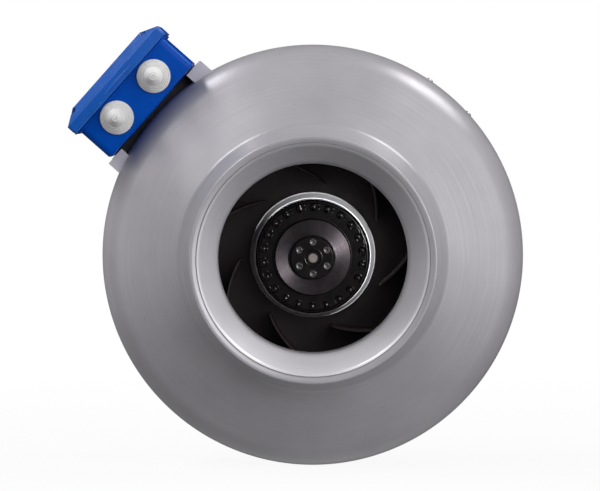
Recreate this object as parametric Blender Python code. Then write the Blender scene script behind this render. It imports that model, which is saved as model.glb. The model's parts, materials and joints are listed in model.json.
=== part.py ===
"""Inline duct fan for a 200 mm round duct, as separate pieces.

The fan's axis runs along Y and the inlet faces -Y. Lengths are in millimetres and are
turned into metres when a mesh is made. The origin is the centre of the bounding box.
"""

from math import atan2, ceil, cos, log, pi, radians, sin, tan

import bmesh
import bpy
from mathutils import Matrix, Vector

MM = 0.001
GAP = 0.3  # clearance between neighbouring pieces
TURN = 2 * pi

# Where the fan's axis crosses the seam plane, from the bounding box's centre
AXIS_POINT = (13.2, -8.0, -7.3)

# Casing
CASING_RADIUS = 172.0
SPIGOT_RADIUS = 99.0
SHEET = 1.2
INLET_RIM = -115.0
OUTLET_RIM = 131.0
INLET_SHOULDER = -31.2  # where the cone's line meets the cylinder's
OUTLET_SHOULDER = 48.2
CONE_RISE = 0.689  # axial length of the cone per unit of radius
SHOULDER_ARC = 46.0
ROOT_ARC = 10.0
SPIGOT_LENGTH = 18.0  # straight, from the rim to the flare
FLARE_RADIUS = 107.5  # where the flare meets the cone
FLARE_ARC = 6.0
LAP_FRONT = -5.0
LAP_STEP = 8.7
LAP_RADIUS = 168.8
HEM = 3.0  # thickness of the outlet spigot's folded edge
HEM_LENGTH = 8.0
CASING_SIDES = 32
ROTOR_SIDES = 30
SMALL_SIDES = 16

# The inlet spigot's rim turns inwards and slopes back a little to its inner edge
RIM_ARC = 1.4
RIM_CREST_RADIUS = 96.4
RIM_INNER_RADIUS = 93.4
RIM_DROP = 1.0

# Inlet nozzle: its flange lies behind the rim, and its funnel is an arc that ends in a short tube
NOZZLE_FLANGE_RADIUS = SPIGOT_RADIUS - SHEET - 2 * GAP
NOZZLE_START = INLET_RIM + RIM_DROP + SHEET + 0.4
THROAT_RADIUS = 76.4
NOZZLE_END = -61.0
NOZZLE_ARC = 34.0
NOZZLE_SWEEP = radians(60.0)
NOZZLE_SHEET = 1.0

# Impeller
BLADES = 7
BLADE_ANGLE = radians(33.0)  # from the tangent
BLADE_THICKNESS = 1.6
BLADE_INNER_RADIUS = 59.0
IMPELLER_RADIUS = 110.0
BACK_PLATE = 2.4
SHROUD_SHEET = 1.6
SHROUD_LIP_RADIUS = 79.0

# Motor
CUP_RADIUS = 46.3
CUP_WALL = 2.3
CUP_FACE = -48.0
CUP_REAR = 14.0
CUP_FLANGE_RADIUS = 55.0  # the flange that carries the impeller
CUP_FLANGE_FRONT = 2.8
CUP_FLANGE_REAR = 4.6
CLAMP_FRONT = -30.0  # the tapered ring round the cup, in front of the impeller
CLAMP_FOOT = -6.0
CLAMP_RADIUS = 51.2
BOSS_RADIUS = 31.0
BOSS_FACE = -58.0
VENTS = 22
VENT_CIRCLE = 38.4
VENT_RADIUS = 2.6
HUB_RADIUS = 17.4
HUB_FACE = -72.0
RIVETS = 6
RIVET_CIRCLE = 12.8
RIVET_HOLE = 1.9
LABEL_RADIUS = 29.2
SHAFT_RADIUS = 4.0
TUBE_RADIUS = 14.0
TUBE_BORE = 11.2
STATOR_FLANGE_FRONT = 18.5
STATOR_FLANGE_REAR = 21.7
STATOR_RADIUS = 36.2
STATOR_TEETH = 12
STACK_FRONT = -28.0
STACK_REAR = 8.0
WINDING_LENGTH = 7.7
WINDING_WIDTH = 17.0
WINDING_RADIUS = 25.5
BEARING_WIDTH = 7.0
FRONT_BEARING = -33.4  # middle of the front bearing
REAR_BEARING = 12.9
BALLS = 7
BALL_RADIUS = 1.5
BALL_CIRCLE = 7.5

# Motor bracket
BRACKET_SHEET = 2.0
BRACKET_DISC_FACE = STATOR_FLANGE_REAR + GAP
BRACKET_ARM_FACE = 33.5
BRACKET_ARMS = 4
BRACKET_ARM_WIDTH = 16.0
BRACKET_SCREW_ANGLE = radians(25.0)  # along the outlet shoulder's arc
FLANGE_SCREW_CIRCLE = 36.0
TAB_GAP = 1.3  # a flat tab inside a round casing

# Terminal box, in its own frame: X along the casing, Y with the fan's axis, Z outwards
BOX_TILT = radians(48.4)  # from straight up, towards -X
BOX_SHIFT = 1.5
BOX_BASE = 175.7  # distance of the box's floor from the fan's axis
BOX_LENGTH = 101.6
BOX_DEPTH = 100.0
BOX_CORNER = 6.0
BOX_WALL = 2.2
BOX_FLANGE = 2.4
BOX_FLANGE_BOTTOM = 31.8
BOX_RIM = 33.0
LID_OVERHANG = 4.1
LID_BAND_TOP = 42.0
LID_TOP = 49.8
LID_CHAMFER = 13.7
LID_POST_X = 43.0
LID_POST_Y = 42.5
LID_SCREW_SEAT = 39.0
LID_SCREW_HOLE = 1.9
LID_WALL = 2.0
LID_POST_RADIUS = 5.2
LID_WELL_RADIUS = 3.9
BASE_POST_RADIUS = 4.6
GASKET_WIDTH = 2.4
GASKET_HEIGHT = 1.6
SADDLE_LENGTH = 106.0
SADDLE_FRONT = 8.0
SADDLE_REAR = 36.0
SADDLE_SHEET = 2.2
SADDLE_FOOT_X = 48.0
SADDLE_FOOT_WIDTH = 16.0
SADDLE_FOOT_FRONT = -22.0
SADDLE_FOOT_REAR = 24.0
SADDLE_DROP = 24.0  # how far the feet and the pad are drawn down before the casing trims them
PAD_FRONT = -8.0
PAD_HALF_LENGTH = SADDLE_FOOT_X - SADDLE_FOOT_WIDTH / 2 - GAP
SADDLE_BORE = 7.6
GROMMET_SPACING = 44.8
GROMMET_HEIGHT = 17.7
GROMMET_RADIUS = 13.7
GROMMET_HOLE = 10.2
CAPACITOR_RADIUS = 12.0
CAPACITOR_PLACE = (4.0, 33.0, 20.0)
TERMINALS = 6
TERMINAL_PITCH = 8.0
BOX_SCREW_X = 30.0
BOX_SCREW_Y = 16.0
CABLE_PLANE = 17.5  # where the motor cable crosses the casing
CABLE_RUN = 29.0  # where it leaves the motor bracket
CABLE_RADIUS = 3.2
CABLE_HOLE = 4.0
SCREW_HOLE = 2.3
WALL_FIXING_ANGLES = (radians(34.0), radians(48.0))  # from straight up, towards +X
WALL_FIXING_PLANE = 16.0


# Outlines: lists of (radius, y)

def arc(centre, radius, start, end, steps):
    """Points on a circle, both ends included; angles in radians from the first axis."""
    angles = [start + (end - start) * i / steps for i in range(steps + 1)]
    return [(centre[0] + radius * cos(a), centre[1] + radius * sin(a)) for a in angles]


def rounded(corners, radii, step=radians(19)):
    """A polyline whose inner corners are replaced by arcs of the given radii."""
    points = [corners[0]]
    for before, corner, after, radius in zip(corners, corners[1:], corners[2:], radii):
        if radius <= 0:
            points.append(corner)
            continue
        here = Vector(corner)
        into = (Vector(before) - here).normalized()
        out = (Vector(after) - here).normalized()
        half = into.angle(out) / 2
        centre = here + (into + out).normalized() * radius / sin(half)
        first = here + into * radius / tan(half) - centre
        last = here + out * radius / tan(half) - centre
        start = atan2(first.y, first.x)
        sweep = (atan2(last.y, last.x) - start + pi) % TURN - pi
        points += arc(centre, radius, start, start + sweep, max(2, ceil(abs(sweep) / step)))
    points.append(corners[-1])
    return points


def offset(points, distance):
    """The polyline moved sideways, to the left of its direction."""
    moved = []
    for i, point in enumerate(points):
        before = Vector(points[max(i - 1, 0)])
        after = Vector(points[min(i + 1, len(points) - 1)])
        here = Vector(point)
        into = (here - before).normalized() if i else (after - here).normalized()
        out = (after - here).normalized() if i < len(points) - 1 else into
        left = (Vector((-into.y, into.x)) + Vector((-out.y, out.x))).normalized()
        scale = distance / left.dot(Vector((-out.y, out.x)))
        moved.append(tuple(here + left * scale))
    return moved


def sheet(points, thickness):
    """The closed outline of a sheet whose one face follows the points."""
    return points + offset(points, thickness)[::-1]


def ring(inner, outer, front, rear):
    """The closed outline of a plain ring."""
    return [(inner, front), (outer, front), (outer, rear), (inner, rear)]


# Objects

def material(name, colour, roughness, metallic):
    """A plain Principled material."""
    made = bpy.data.materials.get(name) or bpy.data.materials.new(name)
    made.use_nodes = True
    shader = made.node_tree.nodes["Principled BSDF"]
    shader.inputs["Base Color"].default_value = (*colour, 1.0)
    shader.inputs["Roughness"].default_value = roughness
    shader.inputs["Metallic"].default_value = metallic
    return made


def silver_paint():
    return material("silver_paint", (0.50, 0.51, 0.53), 0.42, 0.6)


def black_paint():
    return material("black_paint", (0.012, 0.010, 0.010), 0.35, 0.0)


def black_plastic():
    return material("black_plastic", (0.016, 0.013, 0.013), 0.5, 0.0)


def label_film():
    return material("label_film", (0.035, 0.028, 0.030), 0.3, 0.3)


def bright_steel():
    return material("bright_steel", (0.62, 0.63, 0.65), 0.25, 1.0)


def zinc_steel():
    return material("zinc_steel", (0.55, 0.56, 0.58), 0.4, 1.0)


def lamination_steel():
    return material("lamination_steel", (0.25, 0.25, 0.27), 0.5, 1.0)


def cast_aluminium():
    return material("cast_aluminium", (0.48, 0.48, 0.49), 0.5, 1.0)


def copper_wire():
    return material("copper_wire", (0.55, 0.24, 0.10), 0.35, 1.0)


def blue_plastic():
    return material("blue_plastic", (0.0, 0.055, 0.38), 0.35, 0.0)


def grey_rubber():
    return material("grey_rubber", (0.55, 0.55, 0.54), 0.6, 0.0)


def black_rubber():
    return material("black_rubber", (0.02, 0.02, 0.02), 0.7, 0.0)


def pale_plastic():
    return material("pale_plastic", (0.72, 0.70, 0.74), 0.45, 0.0)


def empty(name, location, rotation=(0.0, 0.0, 0.0), parent=None):
    """A placing point; location in millimetres."""
    made = bpy.data.objects.new(name, None)
    bpy.context.collection.objects.link(made)
    made.location = [value * MM for value in location]
    made.rotation_euler = rotation
    made.parent = parent
    return made


def new_object(name, mesh, look, parent, location=(0.0, 0.0, 0.0)):
    """Links an object with its material, smooth on its round faces."""
    made = bpy.data.objects.new(name, mesh)
    bpy.context.collection.objects.link(made)
    if not mesh.materials:
        mesh.materials.append(look)
        mesh.shade_smooth()
        mesh.set_sharp_from_angle(angle=radians(35))
    made.parent = parent
    made.location = [value * MM for value in location]
    return made


def finish_mesh(shape, name):
    """Turns a bmesh in millimetres into a mesh in metres with its faces outwards."""
    bmesh.ops.scale(shape, vec=(MM, MM, MM), verts=shape.verts)
    bmesh.ops.recalc_face_normals(shape, faces=shape.faces)
    mesh = bpy.data.meshes.new(name)
    shape.to_mesh(mesh)
    shape.free()
    return mesh


def lathe(name, outline, sides=CASING_SIDES):
    """Turns an outline of (radius, y) round the Y axis. It is closed unless its ends are at radius 0."""
    shape = bmesh.new()
    verts = [shape.verts.new((radius, y, 0.0)) for radius, y in outline]
    edges = [shape.edges.new(pair) for pair in zip(verts, verts[1:])]
    if outline[0][0] > 0:
        edges.append(shape.edges.new((verts[-1], verts[0])))
    bmesh.ops.spin(
        shape, geom=verts + edges, cent=(0, 0, 0), axis=(0, 1, 0), angle=TURN, steps=sides, use_merge=True
    )
    bmesh.ops.remove_doubles(shape, verts=shape.verts, dist=1e-4)
    return finish_mesh(shape, name)


def loft(name, loops):
    """Skins loops of equal length one after the other and closes both ends."""
    shape = bmesh.new()
    rows = [[shape.verts.new(point) for point in loop] for loop in loops]
    count = len(rows[0])
    for row, following in zip(rows, rows[1:]):
        for i in range(count):
            j = (i + 1) % count
            shape.faces.new((row[i], row[j], following[j], following[i]))
    shape.faces.new(rows[0][::-1])
    shape.faces.new(rows[-1])
    return finish_mesh(shape, name)


def rounded_rectangle(length, depth, corner, height, steps=3):
    """A loop in the XY plane, centred on the origin."""
    points = []
    for quarter, (sx, sy) in enumerate(((1, 1), (-1, 1), (-1, -1), (1, -1))):
        centre = (sx * (length / 2 - corner), sy * (depth / 2 - corner))
        points += arc(centre, corner, quarter * pi / 2, (quarter + 1) * pi / 2, steps)
    return [(x, y, height) for x, y in points]


def tray(name, length, depth, corner, levels):
    """A loft of rounded rectangles; each level is (inset, height)."""
    loops = []
    for inset, height in levels:
        radius = max(corner - inset, 1.0)
        loops.append(rounded_rectangle(length - 2 * inset, depth - 2 * inset, radius, height))
    return loft(name, loops)


def block(name, low, high):
    """A box between two corners."""
    shape = bmesh.new()
    bmesh.ops.create_cube(shape, size=1.0)
    size = [h - l for l, h in zip(low, high)]
    middle = [(h + l) / 2 for l, h in zip(low, high)]
    bmesh.ops.scale(shape, vec=size, verts=shape.verts)
    bmesh.ops.translate(shape, vec=middle, verts=shape.verts)
    return finish_mesh(shape, name)


def plain_pin(name, radius, start, end, sides=8):
    """A cylinder along Y from start to end."""
    return lathe(name, [(0.0, start), (radius, start), (radius, end), (0.0, end)], sides)


def pin_ring(name, angles, circle, radius, start, end, sides=8):
    """Cylinders along Y, spaced on a circle round the fan's axis, as one cutter.

    Each is turned a quarter of a side, so that no corner falls on an edge of the turned piece it cuts.
    """
    shape = bmesh.new()
    for angle in angles:
        place = Matrix.Translation(around(angle, circle, (start + end) / 2))
        turn = Matrix.Rotation(angle, 4, "Y") @ Matrix.Rotation(pi / 2, 4, "X")
        off_centre = Matrix.Rotation(TURN / sides / 4, 4, "Z")
        bmesh.ops.create_cone(
            shape,
            cap_ends=True,
            segments=sides,
            radius1=radius,
            radius2=radius,
            depth=end - start,
            matrix=place @ turn @ off_centre,
        )
    return finish_mesh(shape, name)


def spaced(count, shift=0.0):
    """Equal angles round a full turn; the shift is in steps."""
    return [TURN * (i + shift) / count for i in range(count)]


def joined(target, tools, operation):
    """Unites the target with the tools, or cuts it by them, one by one, and removes the tools."""
    for tool in tools:
        modifier = target.modifiers.new("cut", "BOOLEAN")
        modifier.operation = operation
        modifier.solver = "EXACT"
        modifier.object = tool
        bpy.context.view_layer.update()
        graph = bpy.context.evaluated_depsgraph_get()
        mesh = bpy.data.meshes.new_from_object(target.evaluated_get(graph))
        target.modifiers.clear()
        target.data = mesh
    for tool in tools:
        bpy.data.objects.remove(tool)
    target.data.shade_smooth()
    target.data.set_sharp_from_angle(angle=radians(35))


def tool(mesh, parent, location=(0.0, 0.0, 0.0), rotation=None):
    """A temporary solid for a Boolean, in the target's own frame."""
    made = bpy.data.objects.new(mesh.name, mesh)
    bpy.context.collection.objects.link(made)
    made.parent = parent
    made.location = [value * MM for value in location]
    if rotation:
        made.rotation_euler = rotation
    return made


def around(angle, radius, y):
    """A point at an angle from straight up, turning towards +X as seen from the inlet."""
    return (radius * sin(angle), y, radius * cos(angle))


def point_head(thing, direction):
    """Turns an object so that its -Y side, where a head sits, faces a direction."""
    thing.rotation_mode = "QUATERNION"
    thing.rotation_quaternion = Vector((0, -1, 0)).rotation_difference(Vector(direction))


def screw_mesh(name, head_radius, head_height, shank_radius, length, sides=8):
    """A pan-head screw: the head's underside is at y = 0 and the shank runs to +Y."""
    outline = [
        (0.0, -head_height),
        (head_radius * 0.8, -head_height),
        (head_radius, 0.0),
        (shank_radius, 0.0),
        (shank_radius, length),
        (0.0, length),
    ]
    return lathe(name, outline, sides)


# Casing

def outlet_corners():
    """The outlet half's outline corners, from the lap back to the rim."""
    cone_end = OUTLET_SHOULDER + (CASING_RADIUS - FLARE_RADIUS) * CONE_RISE
    corners = [
        (LAP_RADIUS, LAP_FRONT),
        (LAP_RADIUS, LAP_STEP),
        (CASING_RADIUS, LAP_STEP),
        (CASING_RADIUS, OUTLET_SHOULDER),
        (FLARE_RADIUS, cone_end),
        (SPIGOT_RADIUS, OUTLET_RIM - SPIGOT_LENGTH),
        (SPIGOT_RADIUS, OUTLET_RIM),
    ]
    return corners, (0, 0, SHOULDER_ARC, ROOT_ARC, FLARE_ARC)


def outlet_arc_centre():
    """Centre of the outlet shoulder's arc."""
    turn = pi / 2 - atan2(CONE_RISE, 1.0)
    return (CASING_RADIUS - SHOULDER_ARC, OUTLET_SHOULDER - SHOULDER_ARC * tan(turn / 2))


def bracket_angles():
    return spaced(BRACKET_ARMS)


def bracket_screw_place(angle):
    """Where a bracket screw meets the casing, and the way its head faces."""
    radius, y = arc(outlet_arc_centre(), SHOULDER_ARC, BRACKET_SCREW_ANGLE, BRACKET_SCREW_ANGLE, 1)[0]
    outwards = around(angle, cos(BRACKET_SCREW_ANGLE), sin(BRACKET_SCREW_ANGLE))
    return around(angle, radius, y), outwards


def inlet_corners(rear):
    """The inlet half's outline corners, from the spigot's rim back to a plane on its cylinder."""
    cone_end = INLET_SHOULDER - (CASING_RADIUS - FLARE_RADIUS) * CONE_RISE
    return [
        (SPIGOT_RADIUS, INLET_RIM),
        (SPIGOT_RADIUS, INLET_RIM + SPIGOT_LENGTH),
        (FLARE_RADIUS, cone_end),
        (CASING_RADIUS, INLET_SHOULDER),
        (CASING_RADIUS, rear),
    ]


def make_inlet_casing(fan):
    rim = [(RIM_INNER_RADIUS, INLET_RIM + RIM_DROP), (RIM_CREST_RADIUS, INLET_RIM)]
    corners = rim + inlet_corners(LAP_STEP - GAP)
    outline = sheet(rounded(corners, (0, RIM_ARC, FLARE_ARC, ROOT_ARC, SHOULDER_ARC)), SHEET)
    return new_object("inlet_casing", lathe("inlet_casing", outline), silver_paint(), fan)


def make_outlet_casing(fan):
    corners, radii = outlet_corners()
    outer = rounded(corners, radii)
    inner = offset(outer, SHEET)[:-1]
    inner += [
        (SPIGOT_RADIUS - SHEET, OUTLET_RIM - HEM_LENGTH),
        (SPIGOT_RADIUS - HEM, OUTLET_RIM - HEM_LENGTH),
        (SPIGOT_RADIUS - HEM, OUTLET_RIM),
    ]
    casing = new_object("outlet_casing", lathe("outlet_casing", outer + inner[::-1]), silver_paint(), fan)
    cutters = []
    for angle in bracket_angles():
        place, outwards = bracket_screw_place(angle)
        cutter = tool(plain_pin("screw_hole", SCREW_HOLE, -6.0, 6.0), fan, place)
        point_head(cutter, outwards)
        cutters.append(cutter)
    for angle in WALL_FIXING_ANGLES:
        place = around(angle, CASING_RADIUS, WALL_FIXING_PLANE)
        cutter = tool(plain_pin("fixing_hole", 2.1, -6.0, 6.0), fan, place)
        point_head(cutter, around(angle, 1.0, 0.0))
        cutters.append(cutter)
    upwards = around(-BOX_TILT, 1.0, 0.0)
    sideways = Vector(around(pi / 2 - BOX_TILT, 1.0, 0.0))
    for side in (-1, 1):
        place = Vector(around(-BOX_TILT, CASING_RADIUS - 4.0, BOX_SCREW_Y))
        place += sideways * (side * BOX_SCREW_X + BOX_SHIFT)
        cutter = tool(plain_pin("box_screw_hole", SCREW_HOLE, -12.0, 12.0), fan, place)
        point_head(cutter, upwards)
        cutters.append(cutter)
    cable = tool(
        plain_pin("cable_hole", 5.3, -8.0, 8.0, 16), fan, around(-BOX_TILT, CASING_RADIUS, CABLE_PLANE)
    )
    point_head(cable, upwards)
    joined(casing, cutters + [cable], "DIFFERENCE")
    return casing


def make_casing_seal(fan):
    outline = ring(LAP_RADIUS + GAP, CASING_RADIUS - SHEET - GAP, -4.0, 4.0)
    return new_object("casing_seal", lathe("casing_seal", outline), black_rubber(), fan)


def make_inlet_nozzle(fan):
    slope = RIM_DROP / (RIM_CREST_RADIUS - RIM_INNER_RADIUS)
    flange_front = NOZZLE_START - (NOZZLE_FLANGE_RADIUS - RIM_INNER_RADIUS) * slope
    centre = (THROAT_RADIUS + NOZZLE_ARC, NOZZLE_START + NOZZLE_ARC * sin(NOZZLE_SWEEP))
    funnel = arc(centre, NOZZLE_ARC, pi + NOZZLE_SWEEP, pi, 4)
    face = [(NOZZLE_FLANGE_RADIUS, flange_front)] + funnel + [(THROAT_RADIUS, NOZZLE_END)]
    outline = sheet(face, -NOZZLE_SHEET)
    return new_object("inlet_nozzle", lathe("inlet_nozzle", outline), silver_paint(), fan)


def make_wall_fixings(fan):
    mesh = screw_mesh("wall_fixing", 3.0, 1.2, 1.8, 6.0)
    for number, angle in enumerate(WALL_FIXING_ANGLES, 1):
        place = around(angle, CASING_RADIUS + GAP, WALL_FIXING_PLANE)
        fixing = new_object(f"wall_fixing_{number}", mesh, zinc_steel(), fan, place)
        point_head(fixing, around(angle, 1.0, 0.0))


# Motor bracket

def flange_hole_tools(fan):
    """Cutters for the flange screws and the motor cable, through the flange and the bracket."""
    holes = pin_ring("flange_holes", bracket_angles(), FLANGE_SCREW_CIRCLE, SCREW_HOLE, 15.0, 30.0)
    cable = pin_ring("cable_hole", [-BOX_TILT], FLANGE_SCREW_CIRCLE, CABLE_HOLE, 15.0, 30.0)
    return [tool(holes, fan), tool(cable, fan)]


def make_motor_bracket(fan):
    outline = ring(12.0, 50.0, BRACKET_DISC_FACE, BRACKET_DISC_FACE + BRACKET_SHEET)
    bracket = new_object("motor_bracket", lathe("motor_bracket", outline, SMALL_SIDES), zinc_steel(), fan)
    tab_radius = SHOULDER_ARC - SHEET - TAB_GAP
    tab = arc(outlet_arc_centre(), tab_radius, radians(16), radians(36), 3)
    path = [
        (30.0, BRACKET_DISC_FACE),
        (52.0, BRACKET_DISC_FACE),
        (64.0, BRACKET_ARM_FACE),
        (tab[0][0] - 1.0, BRACKET_ARM_FACE),
    ]
    strip = sheet(path + tab, BRACKET_SHEET)
    arms = []
    for angle in bracket_angles():
        side = BRACKET_ARM_WIDTH / 2
        loops = [[(x, y, radius) for radius, y in strip] for x in (-side, side)]
        arms.append(tool(loft("arm", loops), fan, rotation=(0.0, angle, 0.0)))
    joined(bracket, arms, "UNION")
    cutters = []
    for angle in bracket_angles():
        place, outwards = bracket_screw_place(angle)
        cutter = tool(plain_pin("tab_hole", SCREW_HOLE, -8.0, 8.0), fan, place)
        point_head(cutter, outwards)
        cutters.append(cutter)
    joined(bracket, cutters + flange_hole_tools(fan), "DIFFERENCE")


def make_bracket_screws(fan):
    mesh = screw_mesh("bracket_screw", 3.8, 2.0, 2.0, 8.0)
    for number, angle in enumerate(bracket_angles(), 1):
        place, outwards = bracket_screw_place(angle)
        place = Vector(place) + Vector(outwards) * GAP
        screw = new_object(f"bracket_screw_{number}", mesh, zinc_steel(), fan, place)
        point_head(screw, outwards)


def make_flange_screws(fan):
    mesh = screw_mesh("flange_screw", 3.8, 2.4, 2.0, 5.0)
    head_seat = BRACKET_DISC_FACE + BRACKET_SHEET + GAP
    for number, angle in enumerate(bracket_angles(), 1):
        place = around(angle, FLANGE_SCREW_CIRCLE, head_seat)
        screw = new_object(f"flange_screw_{number}", mesh, zinc_steel(), fan, place)
        point_head(screw, (0.0, 1.0, 0.0))


# Stator

def make_stator_flange(fan):
    outline = [
        (TUBE_BORE, FRONT_BEARING - BEARING_WIDTH / 2 - 1.0),
        (TUBE_RADIUS, FRONT_BEARING - BEARING_WIDTH / 2 - 1.0),
        (TUBE_RADIUS, STATOR_FLANGE_FRONT),
        (42.0, STATOR_FLANGE_FRONT),
        (42.0, STATOR_FLANGE_REAR),
        (TUBE_BORE, STATOR_FLANGE_REAR),
        (TUBE_BORE, REAR_BEARING - BEARING_WIDTH / 2 - GAP),
        (9.3, REAR_BEARING - BEARING_WIDTH / 2 - GAP),
        (9.3, FRONT_BEARING + BEARING_WIDTH / 2 + 1.5),
        (TUBE_BORE, FRONT_BEARING + BEARING_WIDTH / 2 + 1.5),
    ]
    flange = new_object("stator_flange", lathe("stator_flange", outline, 24), cast_aluminium(), fan)
    joined(flange, flange_hole_tools(fan), "DIFFERENCE")


def stator_tooth(middle):
    """One T-shaped tooth's outline: tip, neck and half a slot each side, as (radius, angle)."""
    tip = radians(12.5)
    neck = radians(5.5)
    root = radians(12.0)
    return [
        (20.0, middle - root),
        (32.0, middle - neck),
        (34.0, middle - tip),
        (STATOR_RADIUS, middle - tip),
        (STATOR_RADIUS, middle + tip),
        (34.0, middle + tip),
        (32.0, middle + neck),
    ]


def make_stator_core(fan):
    outer = []
    for tooth in range(STATOR_TEETH):
        outer += stator_tooth(TURN * tooth / STATOR_TEETH)
    loops = [[around(angle, radius, y) for radius, angle in outer] for y in (STACK_FRONT, STACK_REAR)]
    core = new_object("stator_core", loft("stator_core", loops), lamination_steel(), fan)
    bore = plain_pin("bore", TUBE_RADIUS + GAP + 0.1, STACK_FRONT - 5.0, STACK_REAR + 5.0, 20)
    joined(core, [tool(bore, fan)], "DIFFERENCE")


def make_windings(fan):
    front = STACK_FRONT - GAP - WINDING_LENGTH / 2
    rear = STACK_REAR + GAP + WINDING_LENGTH / 2
    for name, middle in (("stator_winding_front", front), ("stator_winding_rear", rear)):
        section = rounded_rectangle(WINDING_WIDTH, WINDING_LENGTH, 3.0, 0.0, 1)
        outline = [(x + WINDING_RADIUS, y + middle) for x, y, _ in section]
        new_object(name, lathe(name, outline, 24), copper_wire(), fan)


def race_outline(flat_radius, rim_radius, groove, middle):
    """A race's section: a plain side at flat_radius and a grooved one at rim_radius."""
    half = BEARING_WIDTH / 2
    return [
        (flat_radius, middle - half),
        (rim_radius, middle - half),
        (rim_radius, middle - 1.4),
        (rim_radius + groove, middle),
        (rim_radius, middle + 1.4),
        (rim_radius, middle + half),
        (flat_radius, middle + half),
    ]


def make_cage(name, middle, parent):
    """The balls and the band that spaces them, as one piece."""
    band = ring(BALL_CIRCLE - 0.45, BALL_CIRCLE + 0.45, middle - 0.9, middle + 0.9)
    cage = new_object(name, lathe(name, band, 21), bright_steel(), parent)
    balls = []
    for i in range(BALLS):
        outline = [(abs(x), y) for x, y in arc((0, 0), BALL_RADIUS, -pi / 2, pi / 2, 4)]
        outline[0] = (0.0, -BALL_RADIUS)
        outline[-1] = (0.0, BALL_RADIUS)
        ball = lathe("ball", outline, 6)
        balls.append(tool(ball, parent, around(TURN * i / BALLS, BALL_CIRCLE, middle)))
    joined(cage, balls, "UNION")


def make_bearings(fan, rotor, cage_empties):
    places = (("front_bearing", FRONT_BEARING), ("rear_bearing", REAR_BEARING))
    for (name, middle), cage_parent in zip(places, cage_empties):
        outer = race_outline(TUBE_BORE - GAP, BALL_CIRCLE + 1.5, 0.45, middle)
        inner = race_outline(SHAFT_RADIUS + GAP, BALL_CIRCLE - 1.5, -0.45, middle)
        for kind, outline, parent in (("outer", outer, fan), ("inner", inner, rotor)):
            race = f"{name}_{kind}_race"
            new_object(race, lathe(race, outline, SMALL_SIDES), bright_steel(), parent)
        make_cage(f"{name}_cage", middle, cage_parent)


def make_wave_spring(fan):
    start = FRONT_BEARING + BEARING_WIDTH / 2 + GAP
    outline = ring(9.5, TUBE_BORE - GAP, start, start + 0.7)
    new_object("wave_spring", lathe("wave_spring", outline, SMALL_SIDES), bright_steel(), fan)


# Rotor

def make_rotor_cup(rotor):
    outline = [
        (9.0, BOSS_FACE),
        (BOSS_RADIUS - 1.5, BOSS_FACE),
        (BOSS_RADIUS, BOSS_FACE + 1.5),
        (BOSS_RADIUS, CUP_FACE),
        (CUP_RADIUS - 3.5, CUP_FACE),
        (CUP_RADIUS - 1.0, CUP_FACE + 1.0),
        (CUP_RADIUS, CUP_FACE + 3.5),
        (CUP_RADIUS, CUP_FLANGE_FRONT),
        (CUP_FLANGE_RADIUS, CUP_FLANGE_FRONT),
        (CUP_FLANGE_RADIUS, CUP_FLANGE_REAR),
        (CUP_RADIUS, CUP_FLANGE_REAR),
        (CUP_RADIUS, CUP_REAR),
        (CUP_RADIUS - CUP_WALL, CUP_REAR),
        (CUP_RADIUS - CUP_WALL, CUP_FACE + CUP_WALL),
        (BOSS_RADIUS - CUP_WALL, CUP_FACE + CUP_WALL),
        (BOSS_RADIUS - CUP_WALL, BOSS_FACE + CUP_WALL),
        (9.0, BOSS_FACE + CUP_WALL),
    ]
    cup = new_object("rotor_cup", lathe("rotor_cup", outline, ROTOR_SIDES), black_paint(), rotor)
    low, high = CUP_FACE - 5.0, CUP_FACE + 6.0
    vents = pin_ring("vents", spaced(VENTS, 0.5), VENT_CIRCLE, VENT_RADIUS, low, high, 6)
    low, high = BOSS_FACE - 3.0, BOSS_FACE + 6.0
    holes = pin_ring("holes", spaced(RIVETS), RIVET_CIRCLE, RIVET_HOLE, low, high)
    joined(cup, [tool(vents, rotor), tool(holes, rotor)], "DIFFERENCE")


def make_label_disc(rotor):
    outline = ring(HUB_RADIUS + GAP + 0.2, LABEL_RADIUS, BOSS_FACE - 1.1, BOSS_FACE - GAP)
    new_object("label_disc", lathe("label_disc", outline, ROTOR_SIDES), label_film(), rotor)


def make_rotor_hub(rotor):
    outline = [
        (SHAFT_RADIUS + GAP, HUB_FACE),
        (HUB_RADIUS - 1.5, HUB_FACE),
        (HUB_RADIUS, HUB_FACE + 1.5),
        (HUB_RADIUS, BOSS_FACE - GAP),
        (8.7, BOSS_FACE - GAP),
        (8.7, -50.0),
        (SHAFT_RADIUS + GAP, -50.0),
    ]
    hub = new_object("rotor_hub", lathe("rotor_hub", outline, 24), black_paint(), rotor)
    holes = pin_ring("holes", spaced(RIVETS), RIVET_CIRCLE, RIVET_HOLE, HUB_FACE - 3.0, BOSS_FACE + 3.0)
    joined(hub, [tool(holes, rotor)], "DIFFERENCE")


def make_hub_rivets(rotor):
    tail = BOSS_FACE + CUP_WALL + GAP
    outline = [
        (0.0, HUB_FACE - 1.3),
        (2.0, HUB_FACE - 1.3),
        (3.0, HUB_FACE - GAP),
        (1.5, HUB_FACE - GAP),
        (1.5, tail),
        (2.6, tail),
        (2.6, tail + 1.2),
        (0.0, tail + 1.2),
    ]
    mesh = lathe("hub_rivet", outline, 6)
    for i in range(RIVETS):
        place = around(TURN * i / RIVETS, RIVET_CIRCLE, 0.0)
        new_object(f"hub_rivet_{i + 1}", mesh, zinc_steel(), rotor, place)


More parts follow.
